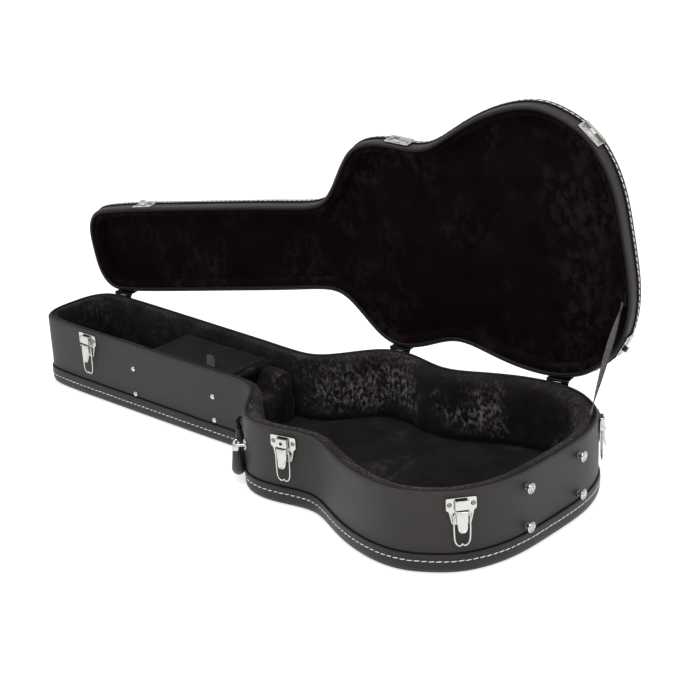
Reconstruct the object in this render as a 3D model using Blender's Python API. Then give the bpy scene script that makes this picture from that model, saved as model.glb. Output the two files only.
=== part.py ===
"""Hard-shell case for a dreadnought acoustic guitar, lying open on its back.

Frame: +Z up, origin on the floor under the middle of the base, +X from the head end to the tail
end, -Y to the latch side, +Y to the hinge side. Metres.
"""
import math

import bmesh
import bpy
import numpy as np
from mathutils import Matrix, Vector

MM = 0.001

# ----------------------------------------------------------------- driving dimensions (mm, degrees)
LENGTH = 1095.0  # wall to wall
PARTING_Z = 130.3  # plane between base and lid
TOTAL_Z = 166.3  # closed height
PLY = 6.0  # side wall thickness
GAP = 0.3  # clearance between touching pieces
BAND_PROUD = 2.8  # edge band outside the wall
BASE_BAND_Z = 31.0  # top of the base's edge band
LID_BAND_Z = 152.0  # lower edge of the lid's edge band
NECK_PAD = 9.0  # plush thickness in the neck
BODY_PAD = 20.0  # plush thickness round the body
LID_PAD = 11.0

# half-width stations of the side wall, x from the middle of the length
TAIL_CROWN = [(547.5, 0), (545.5, 71), (534.5, 123)]
LOWER_BOUT = [(512, 167), (480, 196), (439, 217), (387, 221), (327, 208), (272, 185)]
WAIST = [(219, 165.5), (168, 172)]
UPPER_BOUT = [(123, 178.5), (83, 169), (53, 140)]
SHOULDER = [(28, 106), (1, 82), (-39, 75.5)]
NECK = [(-104, 77), (-224, 79), (-374, 81), (-492, 80)]
HEAD = [(-524, 72), (-542.5, 47), (-547.5, 0)]

# lid hinge line: plan angle against the centreline, and where it crosses x = tail
HINGE_ANGLE = 9.0
HINGE_Y_AT_TAIL = 249.4
LID_OPEN = 87.8
HINGE_X = {"lower_bout": 394.0, "upper_bout": 104.0, "head": -496.0}
KNUCKLE_R, PIN_R, BORE_R = 2.6, 1.3, 1.65
LEAF_IN, LEAF_OUT = 0.8, 1.9
LEAF_HALF = 19.0

# drawbolt latches: x of the seat on the outline, side (-1 latch side, +1 hinge side)
LATCHES = {"neck": (-402.5, -1), "upper_bout": (171.0, -1), "lower_bout": (511.0, -1), "tail": (511.0, 1)}
LATCH_DROP = {"neck": 0.0, "upper_bout": 3.5, "lower_bout": 3.5, "tail": 0.0}  # bout latches sit lower
PLATE_TOP, PLATE_BOTTOM = 123.4, 82.0
LEVER_PIVOT = (8.6, 103.6)  # stand-off from the seat, height
BAIL_PIVOT = (5.0, 98.0)
BAIL_HALF, BAIL_LENGTH, BAIL_R = 11.7, 48.0, 1.25
LOCK_Z = 113.6

# carrying handle on the slanted shoulder, between these two wall points
HANDLE_NEAR, HANDLE_FAR = (81.0, -168.0), (8.0, -91.0)
HANDLE_Z, HANDLE_OFF, HANDLE_DROP, GRIP_R = 77.0, 15.0, 54.0, 10.2

# accessory box in the neck
BOX_X0, BOX_X1, BOX_TOP = -285.5, -89.5, 102.0
FEET_Y, FEET_Z = 64.0, (43.0, 105.0)

# lid stay strap: y and height of its clamp bars on the inner tail wall of base and lid (lid closed)
STRAP_BASE = (141.0, 126.0)
STRAP_LID = (90.0, 132.4)
CLAMP_IN, CLAMP_THICK, CLAMP_TALL = 9.3, 2.2, 4.6
STRAP_WIDTH, STRAP_THICK = 19.0, 1.8

# ----------------------------------------------------------------- scene
for o in list(bpy.data.objects):
    bpy.data.objects.remove(o, do_unlink=True)

case = bpy.data.collections.new("guitar_case")
bpy.context.scene.collection.children.link(case)
tools = bpy.data.collections.new("tools")
bpy.context.scene.collection.children.link(tools)


def material(name, colour, rough, metal=0.0):
    m = bpy.data.materials.new(name)
    m.use_nodes = True
    b = m.node_tree.nodes["Principled BSDF"]
    b.inputs["Base Color"].default_value = (*colour, 1)
    b.inputs["Roughness"].default_value = rough
    b.inputs["Metallic"].default_value = metal
    return m


BLACK = (0.030, 0.028, 0.027)
PLUSH = (0.016, 0.013, 0.016)
STEEL = (0.80, 0.80, 0.81)


def give(o, colour, rough, metal=0.0):
    o.data.materials.append(material("m_" + o.name, colour, rough, metal))
    return o


# ----------------------------------------------------------------- outline
def closed_spline(points):
    """Periodic cubic through the points; returns an evaluator of the curve at t in 0..1."""
    p = np.array(points, float)
    n = len(p)
    step = np.sqrt(np.linalg.norm(np.roll(p, -1, 0) - p, axis=1))
    a = np.zeros((n, n))
    rhs = np.zeros((n, 2))
    for i in range(n):
        h0, h1 = step[i - 1], step[i]
        a[i, i - 1] += h0
        a[i, i] += 2 * (h0 + h1)
        a[i, (i + 1) % n] += h1
        rhs[i] = 6 * ((p[(i + 1) % n] - p[i]) / h1 - (p[i] - p[i - 1]) / h0)
    m = np.linalg.solve(a, rhs)
    knots = np.r_[0, np.cumsum(step)]

    def at(t):
        u = (t % 1.0) * knots[-1]
        i = min(int(np.searchsorted(knots, u, side="right")) - 1, n - 1)
        h, j = step[i], (i + 1) % n
        x0, x1 = knots[i + 1] - u, u - knots[i]
        return (m[i] * x0**3 + m[j] * x1**3) / (6 * h) + (p[i] / h - m[i] * h / 6) * x0 + (p[j] / h - m[j] * h / 6) * x1

    return at


HALF = TAIL_CROWN + LOWER_BOUT + WAIST + UPPER_BOUT + SHOULDER + NECK + HEAD
curve_at = closed_spline(HALF + [(x, -y) for x, y in HALF[-2:0:-1]])
FINE = np.array([curve_at(v) for v in np.linspace(0, 1, 3001)[:-1]])


def sampled(turn, longest):
    """Half outline, tail to head on the +Y side, with a point each `turn` degrees or `longest` mm, mirrored."""
    ts = np.linspace(0, 0.5, 1401)
    fine = np.array([curve_at(t) for t in ts])
    keep, bend, run = [0], 0.0, 0.0
    for i in range(1, len(fine) - 1):
        d0, d1 = fine[i] - fine[i - 1], fine[i + 1] - fine[i]
        bend += abs(math.degrees(math.atan2(d0[0] * d1[1] - d0[1] * d1[0], float(d0 @ d1))))
        run += float(np.linalg.norm(d0))
        if bend > turn or run > longest:
            keep.append(i)
            bend, run = 0.0, 0.0
    if np.linalg.norm(fine[keep[-1]] - fine[-1]) < 14:
        keep.pop()
    keep.append(len(fine) - 1)
    half = fine[keep]
    return np.vstack([half, half[-2:0:-1] * [1, -1]])


def normals(path):
    t0 = path - np.roll(path, 1, 0)
    t1 = np.roll(path, -1, 0) - path
    t0 /= np.linalg.norm(t0, axis=1)[:, None]
    t1 /= np.linalg.norm(t1, axis=1)[:, None]
    t = t0 + t1
    t /= np.linalg.norm(t, axis=1)[:, None]
    return np.c_[t[:, 1], -t[:, 0]], np.sqrt(np.clip((1 + (t0 * t1).sum(1)) / 2, 0.5, 1))


OUTLINE = sampled(13.5, 75.0)
NORMAL, MITER = normals(OUTLINE)
if NORMAL[0][0] < 0:
    NORMAL = -NORMAL


def offset(d):
    """The outline moved outwards by d mm; d may be one number or one for each point."""
    d = np.broadcast_to(np.asarray(d, float), (len(OUTLINE),))
    return OUTLINE + NORMAL * (d / MITER)[:, None]


def body_share(x):
    """0 in the neck, 1 in the body, smooth over the shoulder."""
    t = np.clip((x + 15) / 75.0, 0, 1)
    return t * t * (3 - 2 * t)


def on_outline(x, side):
    """Point and outward normal of the fine outline at x, on the side with that sign of y."""
    ts = np.linspace(0.0, 0.5, 4001)
    pts = np.array([curve_at(t) for t in ts])
    i = int(np.argmin(abs(pts[:, 0] - x)))
    p, d = pts[i], pts[min(i + 1, 4000)] - pts[i - 1]
    n = np.array([-d[1], d[0]]) / np.linalg.norm(d)
    if n @ (p - np.array([p[0] * 0.9, 0])) < 0:
        n = -n
    return np.array([p[0], side * p[1]]), np.array([n[0], side * n[1]])


def seat(p, n, half_width, extra=0.0):
    """How far the wall, or what stands `extra` proud of it, rises above the tangent plane at p across a flat plate, plus the clearance."""
    t = np.array([-n[1], n[0]])
    facets = [a + (b - a) * f for a, b in zip(OUTLINE, np.roll(OUTLINE, -1, 0)) for f in np.linspace(0, 1, 33)]
    pts = np.vstack([FINE, facets])
    u, h = (pts - p) @ t, (pts - p) @ n
    near = (abs(u) < half_width) & (abs(h) < 25)
    return float(h[near].max()) + extra + GAP


# ----------------------------------------------------------------- builders
def link(o, parent=None, tool=False):
    (tools if tool else case).objects.link(o)
    if parent is not None:
        o.parent = parent
    if tool:
        o.hide_render = True
        o.display_type = "WIRE"
    return o


def flat(name, loops, z0, z1, parent=None, tool=False, turn=None, at=(0, 0, 0)):
    """Flat outline with holes: the loops (mm) in the object's XY plane, extruded from z0 to z1."""
    c = bpy.data.curves.new(name, "CURVE")
    c.dimensions = "2D"
    c.fill_mode = "BOTH"
    c.extrude = (z1 - z0) / 2 * MM
    for loop in loops:
        s = c.splines.new("POLY")
        s.points.add(len(loop) - 1)
        for q, (x, y) in zip(s.points, loop):
            q.co = (x * MM, y * MM, 0, 1)
        s.use_cyclic_u = True
    o = bpy.data.objects.new(name, c)
    rot = Matrix.Identity(3) if turn is None else turn
    o.rotation_euler = rot.to_euler()
    o.location = (Vector(at) + rot @ Vector((0, 0, (z0 + z1) / 2))) * MM
    return link(o, parent, tool)


FACING = Matrix(((1, 0, 0), (0, 0, -1), (0, 1, 0)))  # loop x -> x, loop y -> z, depth -> -y (outwards)
SIDEWAYS = Matrix(((0, 0, 1), (-1, 0, 0), (0, 1, 0)))  # loop x -> -y (outwards), loop y -> z, depth -> x


def swept(name, profile, parent=None):
    """Closed profile, (outward offset, height) in mm, carried round the outline."""
    c = bpy.data.curves.new(name + "_profile", "CURVE")
    c.dimensions = "2D"
    s = c.splines.new("POLY")
    s.points.add(len(profile) - 1)
    for q, (x, y) in zip(s.points, profile):
        q.co = (x * MM, y * MM, 0, 1)
    s.use_cyclic_u = True
    guide = link(bpy.data.objects.new(name + "_profile", c), tool=True)
    k = bpy.data.curves.new(name, "CURVE")
    k.dimensions = "3D"
    k.twist_mode = "Z_UP"
    k.bevel_mode = "OBJECT"
    k.bevel_object = guide
    s = k.splines.new("POLY")
    s.points.add(len(OUTLINE) - 1)
    for q, (x, y) in zip(s.points, OUTLINE):
        q.co = (x * MM, y * MM, 0, 1)
    s.use_cyclic_u = True
    o = bpy.data.objects.new(name, k)
    return link(o, parent)


def meshed(o):
    """The curve object as a welded mesh object with the same name and place."""
    bpy.context.view_layer.update()
    dg = bpy.context.evaluated_depsgraph_get()
    mesh = bpy.data.meshes.new_from_object(o.evaluated_get(dg))
    bm = bmesh.new()
    bm.from_mesh(mesh)
    bmesh.ops.remove_doubles(bm, verts=bm.verts, dist=1e-6)
    bmesh.ops.recalc_face_normals(bm, faces=bm.faces)
    bm.to_mesh(mesh)
    bm.free()
    name, parent, tool = o.name, o.parent, o.name in tools.objects
    local = o.matrix_local.copy()
    bpy.data.objects.remove(o, do_unlink=True)
    new = bpy.data.objects.new(name, mesh)
    link(new, parent, tool)
    new.matrix_local = local
    return new


def combine(o, tool, how):
    m = o.modifiers.new(how.lower() + "_" + tool.name, "BOOLEAN")
    m.operation = how
    m.object = tool
    return o


def rod(name, r, a, b, parent=None, sides=12, tool=False, r2=None):
    """Round bar, or cone with r2, from a to b (mm)."""
    a, b = Vector(a), Vector(b)
    mesh = bpy.data.meshes.new(name)
    bm = bmesh.new()
    bmesh.ops.create_cone(bm, cap_ends=True, segments=sides, radius1=r * MM, radius2=(r if r2 is None else r2) * MM, depth=(b - a).length * MM)
    bm.to_mesh(mesh)
    bm.free()
    o = bpy.data.objects.new(name, mesh)
    o.rotation_euler = (b - a).to_track_quat("Z", "Y").to_euler()
    o.location = (a + b) / 2 * MM
    return link(o, parent, tool)


def circle(r, n=12, cx=0.0, cy=0.0, first=0.0):
    return [(cx + r * math.cos(2 * math.pi * (i + first) / n), cy + r * math.sin(2 * math.pi * (i + first) / n)) for i in range(n)]


def dome(name, r, h, at, n, parent=None, sides=10):
    """Low rivet head standing on the point `at` along n."""
    at, n = Vector(at), Vector(n).normalized()
    return rod(name, r, at, at + n * h, parent, sides, r2=r * 0.62)


def empty(name, at, rot=(0, 0, 0), parent=None):
    e = bpy.data.objects.new(name, None)
    e.empty_display_size = 0.02
    e.location = Vector(at) * MM
    e.rotation_euler = rot
    link(e, parent)
    bpy.context.view_layer.update()
    return e


def hinge_y(x):
    return HINGE_Y_AT_TAIL + math.tan(math.radians(HINGE_ANGLE)) * (x - LENGTH / 2)


# ----------------------------------------------------------------- base shell
wall = flat("base_wall", [offset(0), offset(-PLY)], 9.0, 126.0)
give(wall, BLACK, 0.55)

give(flat("base_bottom_panel", [offset(-8.0)], 0.0, 8.7), BLACK, 0.6)

band = [(GAP, BASE_BAND_Z), (2.3, BASE_BAND_Z - 0.3), (BAND_PROUD, 29.6), (BAND_PROUD, 12.0), (1.6, 5.6), (-1.6, 1.8), (-5.0, 0.5), (-7.7, GAP), (-7.7, 8.7), (GAP, 8.7)]
give(swept("base_edge_band", band), BLACK, 0.5)

cap = [(-7.2, 126.3), (-7.2, 129.0), (-5.6, PARTING_Z), (-0.9, PARTING_Z), (0.6, 129.0), (0.6, 126.3)]
give(swept("base_rim_piping", cap), (0.02, 0.02, 0.02), 0.35)

share = body_share(OUTLINE[:, 0])
pad = NECK_PAD + (BODY_PAD - NECK_PAD) * share
give(flat("base_wall_padding", [offset(-PLY - 1.6), offset(-PLY - 1.6 - pad)], 12.3, 123.0), PLUSH, 0.95)
give(flat("base_floor_lining", [offset(-8.4)], 9.0, 12.0), PLUSH, 0.95)

# ----------------------------------------------------------------- lid shell, drawn closed and turned with its hinge
lid_axis_at = (0.0, hinge_y(0.0), PARTING_Z)
lid_axis = empty("lid_hinge_axis", lid_axis_at, (0, 0, math.radians(HINGE_ANGLE)))
closed = lid_axis.matrix_world.copy()


def with_lid(o):
    o.parent = lid_axis
    o.matrix_parent_inverse = closed.inverted()
    return o


def upside(profile):
    """A base profile turned over about the parting plane, in the same turning sense."""
    return [(x, 2 * PARTING_Z + 0.4 - z) for x, z in reversed(profile)]


with_lid(give(flat("lid_wall", [offset(0), offset(-PLY)], 135.0, 157.6), BLACK, 0.55))
with_lid(give(flat("lid_top_panel", [offset(-8.0)], 158.0, TOTAL_Z), BLACK, 0.6))
lid_band = [(GAP, 157.9), (-7.7, 157.9), (-7.7, 166.0), (-5.0, 165.8), (-1.6, 164.4), (1.8, 161.4), (BAND_PROUD, 157.5), (BAND_PROUD, LID_BAND_Z + 1.2), (2.3, LID_BAND_Z + 0.2), (GAP, LID_BAND_Z)]
with_lid(give(swept("lid_edge_band", lid_band), BLACK, 0.5))
with_lid(give(swept("lid_rim_piping", upside(cap)), (0.02, 0.02, 0.02), 0.35))
with_lid(give(flat("lid_wall_padding", [offset(-PLY - 1.6), offset(-PLY - 1.6 - LID_PAD)], 137.0, 154.0), PLUSH, 0.95))
with_lid(give(flat("lid_panel_lining", [offset(-8.4)], 154.4, 157.7), PLUSH, 0.95))

# ----------------------------------------------------------------- hinges
HINGE_DIR = Vector((math.cos(math.radians(HINGE_ANGLE)), math.sin(math.radians(HINGE_ANGLE)), 0))
for tag, hx in HINGE_X.items():
    # local frame: x along the pin, outwards is -y, so the frame is turned half round
    at = (hx, hinge_y(hx), PARTING_Z)
    frame = empty("hinge_" + tag, at, (0, 0, math.radians(HINGE_ANGLE + 180)))
    n = Vector((-HINGE_DIR.y, HINGE_DIR.x))
    pts = np.array([curve_at(v) for v in np.linspace(0, 0.5, 2001)])
    u = (pts - np.array([hx, hinge_y(hx)])) @ np.array([HINGE_DIR.x, HINGE_DIR.y])
    h = (pts - np.array([hx, hinge_y(hx)])) @ np.array([n.x, n.y])
    rise = float(h[(abs(u) < LEAF_HALF) & (abs(h) < 20)].max())  # wall's nearest approach to the pin line, negative
    near = -rise - 1.0  # inner face of the leaves, outside the piping
    s0 = max(-near, -1.5)
    s1 = s0 + 1.1
    base_seg = [(-LEAF_HALF, -6.6), (6.6, LEAF_HALF)]
    low, top = -26.0, -KNUCKLE_R - 0.35
    outline = [(-LEAF_HALF, low), (LEAF_HALF, low), (LEAF_HALF, -1.95), (6.6, -1.95), (6.6, top), (-6.6, top), (-6.6, -1.95), (-LEAF_HALF, -1.95)]
    leaf = meshed(flat("hinge_" + tag + "_base_leaf", [outline], s0, s1, frame, turn=FACING))
    for i, (a, b) in enumerate(base_seg):
        tube = meshed(flat(f"hinge_{tag}_knuckle_{i}", [circle(KNUCKLE_R, 14), circle(BORE_R)], a + 0.2, b - 0.2, frame, True, SIDEWAYS))
        combine(leaf, tube, "UNION")
    give(leaf, STEEL, 0.25, 1.0)
    outline = [(-LEAF_HALF, 21.0), (-LEAF_HALF, 0.2 - top), (-6.2, -top), (-6.2, 1.95), (6.2, 1.95), (6.2, -top), (LEAF_HALF, 0.2 - top), (LEAF_HALF, 21.0)]
    leaf = meshed(flat("hinge_" + tag + "_lid_leaf", [outline], s0, s1, frame, turn=FACING))
    tube = meshed(flat(f"hinge_{tag}_knuckle_lid", [circle(KNUCKLE_R, 14), circle(BORE_R)], -6.0, 6.0, frame, True, SIDEWAYS))
    combine(leaf, tube, "UNION")
    bpy.context.view_layer.update()
    for o in (leaf, tube):
        w = o.matrix_world.copy()
        o.parent = lid_axis
        o.matrix_parent_inverse = closed.inverted()
        o.matrix_basis = w
    give(leaf, STEEL, 0.25, 1.0)
    pin = rod("hinge_" + tag + "_pin", PIN_R, (-LEAF_HALF - 0.5, 0, 0), (LEAF_HALF + 0.5, 0, 0), frame)
    give(pin, STEEL, 0.25, 1.0)

# ----------------------------------------------------------------- latches
for tag, (lx, side) in LATCHES.items():
    p, n = on_outline(lx, side)
    turn = math.atan2(n[0], -n[1])
    rise = seat(p, n, 23.0, 0.0)
    frame = empty("latch_" + tag, (p[0], p[1], -LATCH_DROP[tag]), (0, 0, turn))
    at = (0, -rise + GAP, 0)  # stand-offs below count from the seat plane
    # back plate with its raised housing and the two lugs
    half = [(12.6, PLATE_BOTTOM), (14.4, PLATE_BOTTOM + 2), (18.3, 103.6), (22.0, 105.6), (22.0, PLATE_TOP)]
    outline = half + [(-x, z) for x, z in half[::-1]]
    plate = meshed(flat(f"latch_{tag}_plate", [outline], GAP, 1.6, frame, turn=FACING, at=at))
    loops = [[(-9.9, 106.0), (9.9, 106.0), (9.9, 121.0), (-9.9, 121.0)]]
    if tag == "upper_bout":
        loops.append(circle(3.75, 16, 0, LOCK_Z))
    block = meshed(flat(f"latch_{tag}_housing", loops, 1.0, 8.2, frame, True, FACING, at))
    combine(plate, block, "UNION")
    for i, x0 in enumerate((-9.95, 8.85)):
        lug = meshed(flat(f"latch_{tag}_lug_{i}", [[(1.0, 99.9), (9.4, 99.9), (10.9, 102.0), (10.9, 105.2), (9.4, 106.6), (1.0, 106.6)]], x0, x0 + 1.1, frame, True, SIDEWAYS, at))
        combine(plate, lug, "UNION")
    # peened pivot pin between the lugs, and the two rivet heads
    pin = rod(f"latch_{tag}_pin", 0.85, (-9.4, at[1] - LEVER_PIVOT[0], LEVER_PIVOT[1]), (9.4, at[1] - LEVER_PIVOT[0], LEVER_PIVOT[1]), frame, 8, True)
    combine(plate, pin, "UNION")
    for i, x in enumerate((-17.6, 17.6)):
        head = rod(f"latch_{tag}_rivet_{i}", 2.7, (x, at[1] - 1.2, 113.5), (x, at[1] - 2.8, 113.5), frame, 10, True, r2=1.7)
        combine(plate, head, "UNION")
    give(plate, STEEL, 0.22, 1.0)
    # lever: flared tongue with a knuckle on the pin and a cross bore for the bail
    pivot = empty(f"latch_{tag}_lever_axis", (0, at[1] - LEVER_PIVOT[0], LEVER_PIVOT[1]), (0, 0, 0), frame)
    back = LEVER_PIVOT[0]
    half = [(0, -31.0), (3.4, -30.2), (5.6, -27.4), (6.2, -22.0), (8.0, -17.0), (8.4, -15.4), (8.4, -1.1)]
    outline = half + [(-x, z) for x, z in half[:0:-1]]
    lever = meshed(flat(f"latch_{tag}_lever", [outline], 2.3 - back, 8.6 - back, pivot, turn=FACING))
    knuckle = rod(f"latch_{tag}_lever_knuckle", 1.9, (-8.4, 0, 0), (8.4, 0, 0), pivot, 12, True)
    combine(lever, knuckle, "UNION")
    bore = rod(f"latch_{tag}_pin_bore", 1.15, (-16, 0, 0), (16, 0, 0), pivot, 10, True)
    combine(lever, bore, "DIFFERENCE")
    bx, bz = -(BAIL_PIVOT[0] - back), BAIL_PIVOT[1] - LEVER_PIVOT[1]
    bore = rod(f"latch_{tag}_bail_bore", 1.75, (-16, bx, bz), (16, bx, bz), pivot, 10, True)
    combine(lever, bore, "DIFFERENCE")
    give(lever, STEEL, 0.2, 1.0)
    # bail: one bent wire hanging from the lever
    hang = empty(f"latch_{tag}_bail_axis", (0, bx, bz), (0, 0, 0), pivot)
    w, length = BAIL_HALF, BAIL_LENGTH
    half = [(5.6, 0), (9.6, 0), (w - 0.6, -0.8), (w, -2.6), (w, -24.5), (w - 0.7, -length + 10), (w - 2.4, -length + 4.4), (w - 5.6, -length + 0.8), (3.0, -length), (1.4, -length + 2.2), (0, -length + 2.8)]
    wire = half + [(-x, z) for x, z in half[-2::-1]]
    c = bpy.data.curves.new(f"latch_{tag}_bail", "CURVE")
    c.dimensions = "3D"
    c.bevel_depth = BAIL_R * MM
    c.bevel_resolution = 1
    c.use_fill_caps = True
    s = c.splines.new("POLY")
    s.points.add(len(wire) - 1)
    for q, (x, z) in zip(s.points, wire):
        q.co = (x * MM, 0, z * MM, 1)
    bail = link(bpy.data.objects.new(f"latch_{tag}_bail", c), hang)
    give(bail, STEEL, 0.18, 1.0)
    if tag == "upper_bout":
        turnkey = empty("lock_axis", (0, at[1] - 8.0, LOCK_Z), (0, 0, 0), frame)
        plug = rod("lock_cylinder", 3.3, (0, 6.0, 0), (0, -0.9, 0), turnkey, 16)
        slot = rod("lock_keyway", 0.9, (0, -1.4, 0.9), (0, 1.0, 0.9), turnkey, 8, True)
        give(combine(plug, slot, "DIFFERENCE"), STEEL, 0.3, 1.0)
    # keeper on the lid: stepped plate over the edge band, with a hook for the bail
    step = seat(p, n, 23.0, BAND_PROUD) - GAP
    s_in = rise
    prof = [(s_in, 135.2), (s_in, 149.2), (step + 0.4, 151.4), (step + 0.4, 160.2), (step + 1.6, 160.2), (step + 1.6, 150.8), (s_in + 1.3, 148.4), (s_in + 1.3, 135.2)]
    prof = [(x, z + LATCH_DROP[tag]) for x, z in prof]  # the lid's hardware keeps its height
    keeper = meshed(flat(f"keeper_{tag}", [prof], -22.0, 22.0, frame, turn=SIDEWAYS))
    s0 = rise - GAP
    arm = 139.0 if LATCH_DROP[tag] == 0 else 135.5
    hook = [(s0 + 1.0, arm), (s0 + 9.2, arm), (s0 + 10.6, arm + 1.3), (s0 + 10.6, arm + 6.6), (s0 + 9.3, arm + 6.6), (s0 + 9.3, arm + 1.5), (s0 + 1.0, arm + 1.5)]
    hook = [(x, z + LATCH_DROP[tag]) for x, z in hook]
    tool = meshed(flat(f"keeper_{tag}_hook", [hook], -5.5, 5.5, frame, True, SIDEWAYS))
    combine(keeper, tool, "UNION")
    moved = [keeper, tool]
    for i, x in enumerate((-16.5, 16.5)):
        head = rod(f"keeper_{tag}_rivet_{i}", 2.6, (x, -s_in - 0.8, 142.0 + LATCH_DROP[tag]), (x, -s_in - 2.3, 142.0 + LATCH_DROP[tag]), frame, 10, True, r2=1.6)
        combine(keeper, head, "UNION")
        moved.append(head)
    bpy.context.view_layer.update()
    for o in moved:
        wm = o.matrix_world.copy()
        o.parent = lid_axis
        o.matrix_parent_inverse = closed.inverted()
        o.matrix_basis = wm
    give(keeper, STEEL, 0.22, 1.0)

bpy.context.view_layer.update()


# ----------------------------------------------------------------- handle on the shoulder
near, far = Vector((*HANDLE_NEAR, 0)), Vector((*HANDLE_FAR, 0))
along = (near - far).normalized()
out = Vector((along.y, -along.x, 0))
if out.x > 0:
    out = -out
span = (near - far).length
middle = (near + far) / 2 + out * HANDLE_OFF + Vector((0, 0, HANDLE_Z))
swing = empty("handle_axis", middle, (0, 0, math.atan2(along.y, along.x)))
# local frame of the handle: x along the pins; outwards is +y or -y by the sign below
out_sign = 1.0 if (swing.matrix_world.to_3x3() @ Vector((0, 1, 0))).dot(out) > 0 else -1.0
brackets, end_eyes = [], []
for i, (sx, wall_pt) in enumerate(((1, HANDLE_NEAR), (-1, HANDLE_FAR))):
    x_out = sx * span / 2
    # plate against the wall at its own normal, post, and the pin the eye turns on
    pts = np.array([curve_at(v) for v in np.linspace(0.5, 1, 3001)])
    k = int(np.argmin(((pts - np.array(wall_pt)) ** 2).sum(1)))
    d = pts[k + 1] - pts[k - 1]
    n = np.array([d[1], -d[0]]) / np.linalg.norm(d)
    if n[1] > 0:
        n = -n
    rise = seat(pts[k], n, 8.0)
    a = Vector((*pts[k], 0)) / 1.0
    nn = Vector((*n, 0))
    axis_pt = swing.matrix_world @ (Vector((x_out, 0, 0)) * MM) / MM
    plate = rod(f"handle_bracket_{i}", 8.5, a + nn * rise + Vector((0, 0, HANDLE_Z)), a + nn * (rise + 1.8) + Vector((0, 0, HANDLE_Z)), None, 14, r2=7.6)
    post = rod(f"handle_post_{i}", 3.1, a + nn * (rise + 0.8) + Vector((0, 0, HANDLE_Z)), axis_pt + Vector((0, 0, 0)), None, 10, True)
    ball = bpy.data.meshes.new(f"handle_ball_{i}")
    bm = bmesh.new()
    bmesh.ops.create_uvsphere(bm, u_segments=10, v_segments=7, radius=4.0 * MM)
    bm.to_mesh(ball)
    bm.free()
    ball = link(bpy.data.objects.new(f"handle_ball_{i}", ball), tool=True)
    ball.location = axis_pt * MM
    spigot = rod(f"handle_spigot_{i}", 2.3, axis_pt, swing.matrix_world @ (Vector((x_out - sx * 14, 0, 0)) * MM) / MM, None, 10, True)
    for t in (post, ball, spigot):
        combine(plate, t, "UNION")
    give(plate, STEEL, 0.25, 1.0)
    plate.name = "handle_bracket_" + ("near" if i == 0 else "far")
    # eye on the grip's end
    eye = meshed(flat(f"handle_eye_{i}", [circle(5.6, 14), circle(2.75, 12)], x_out - sx * 12.6 - 3.2, x_out - sx * 12.6 + 3.2 if sx > 0 else x_out - sx * 12.6 + 3.2, swing, turn=SIDEWAYS))
    ferrule = rod(f"handle_ferrule_{i}", 4.4, (x_out - sx * 12.6, 0, -4.4), (x_out - sx * 12.6, 0, -13.5), swing, 12, True, r2=7.6)
    combine(eye, ferrule, "UNION")
    eye.name = "handle_end_" + ("near" if i == 0 else "far")
    give(eye, STEEL, 0.2, 1.0)

# padded grip: one thick bar bowed down between the ferrules
x1 = span / 2 - 12.6
c = bpy.data.curves.new("handle_grip", "CURVE")
c.dimensions = "3D"
c.bevel_depth = MM
c.bevel_resolution = 2
c.use_fill_caps = True
path = []
for i in range(17):
    a = math.pi * i / 16
    side = -1 if math.cos(a) > 0 else 1
    path.append((side * x1 * abs(math.cos(a)) ** 0.62, -14.5 - (HANDLE_DROP - 14.5) * math.sin(a) ** 0.62, 5.8 + (GRIP_R - 5.8) * math.sin(a) ** 0.8))
s = c.splines.new("POLY")
s.points.add(len(path) - 1)
for q, (x, z, r) in zip(s.points, path):
    q.co = (x * MM, 0, z * MM, 1)
    q.radius = r
grip = link(bpy.data.objects.new("handle_grip", c), swing)
give(grip, (0.02, 0.02, 0.02), 0.5)

# ----------------------------------------------------------------- tail feet and partition rivets
for y in (-FEET_Y, FEET_Y):
    for z in FEET_Z:
        pts = np.array([curve_at(v) for v in np.linspace(-0.1, 0.1, 2001)])
        k = int(np.argmin(abs(pts[:, 1] - y)))
        d = pts[k + 1] - pts[k - 1]
        n = np.array([d[1], -d[0]]) / np.linalg.norm(d)
        if n[0] < 0:
            n = -n
        nn = Vector((*n, 0))
        a = Vector((*pts[k], z)) + nn * (seat(pts[k], n, 6.0) - 0.5)
        foot = bpy.data.meshes.new("foot")
        bm = bmesh.new()
        prof = [(0, 11.6), (4.2, 11.4), (7.6, 10.8), (8.3, 9.8), (8.3, 8.2), (3.4, 7.2), (3.2, 2.4), (4.8, 1.8), (4.8, 0.6), (0, 0.6)]
        verts = [bm.verts.new((r * MM, 0, h * MM)) for r, h in prof]
        for v0, v1 in zip(verts, verts[1:]):
            bm.edges.new((v0, v1))
        bmesh.ops.spin(bm, geom=list(bm.verts) + list(bm.edges), axis=(0, 0, 1), cent=(0, 0, 0), steps=12, angle=2 * math.pi, use_duplicate=False)
        bmesh.ops.remove_doubles(bm, verts=bm.verts, dist=1e-6)
        bmesh.ops.recalc_face_normals(bm, faces=bm.faces)
        bm.to_mesh(foot)
        bm.free()
        o = link(bpy.data.objects.new(f"tail_foot_{'left' if y < 0 else 'right'}_{'low' if z < 70 else 'high'}", foot))
        o.rotation_euler = nn.to_track_quat("Z", "Y").to_euler()
        o.location = a * MM
        give(o, STEEL, 0.2, 1.0)

for tag, x, zs in (("head", BOX_X0, (37.0, 84.5)), ("body", BOX_X1, (39.0, 82.0))):
    p, n = on_outline(x, -1)
    for where, z in zip(("low", "high"), zs):
        a = Vector((*p, z)) + Vector((*n, 0)) * seat(p, n, 5.0)
        give(dome(f"partition_rivet_{tag}_{where}", 4.4, 2.2, a, (*n, 0), None, 12), STEEL, 0.25, 1.0)

# ----------------------------------------------------------------- neck fittings
inner = NECK_PAD + PLY + 1.6 + 0.6


def inside_y(x):
    return on_outline(x, 1)[0][1] - inner


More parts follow.
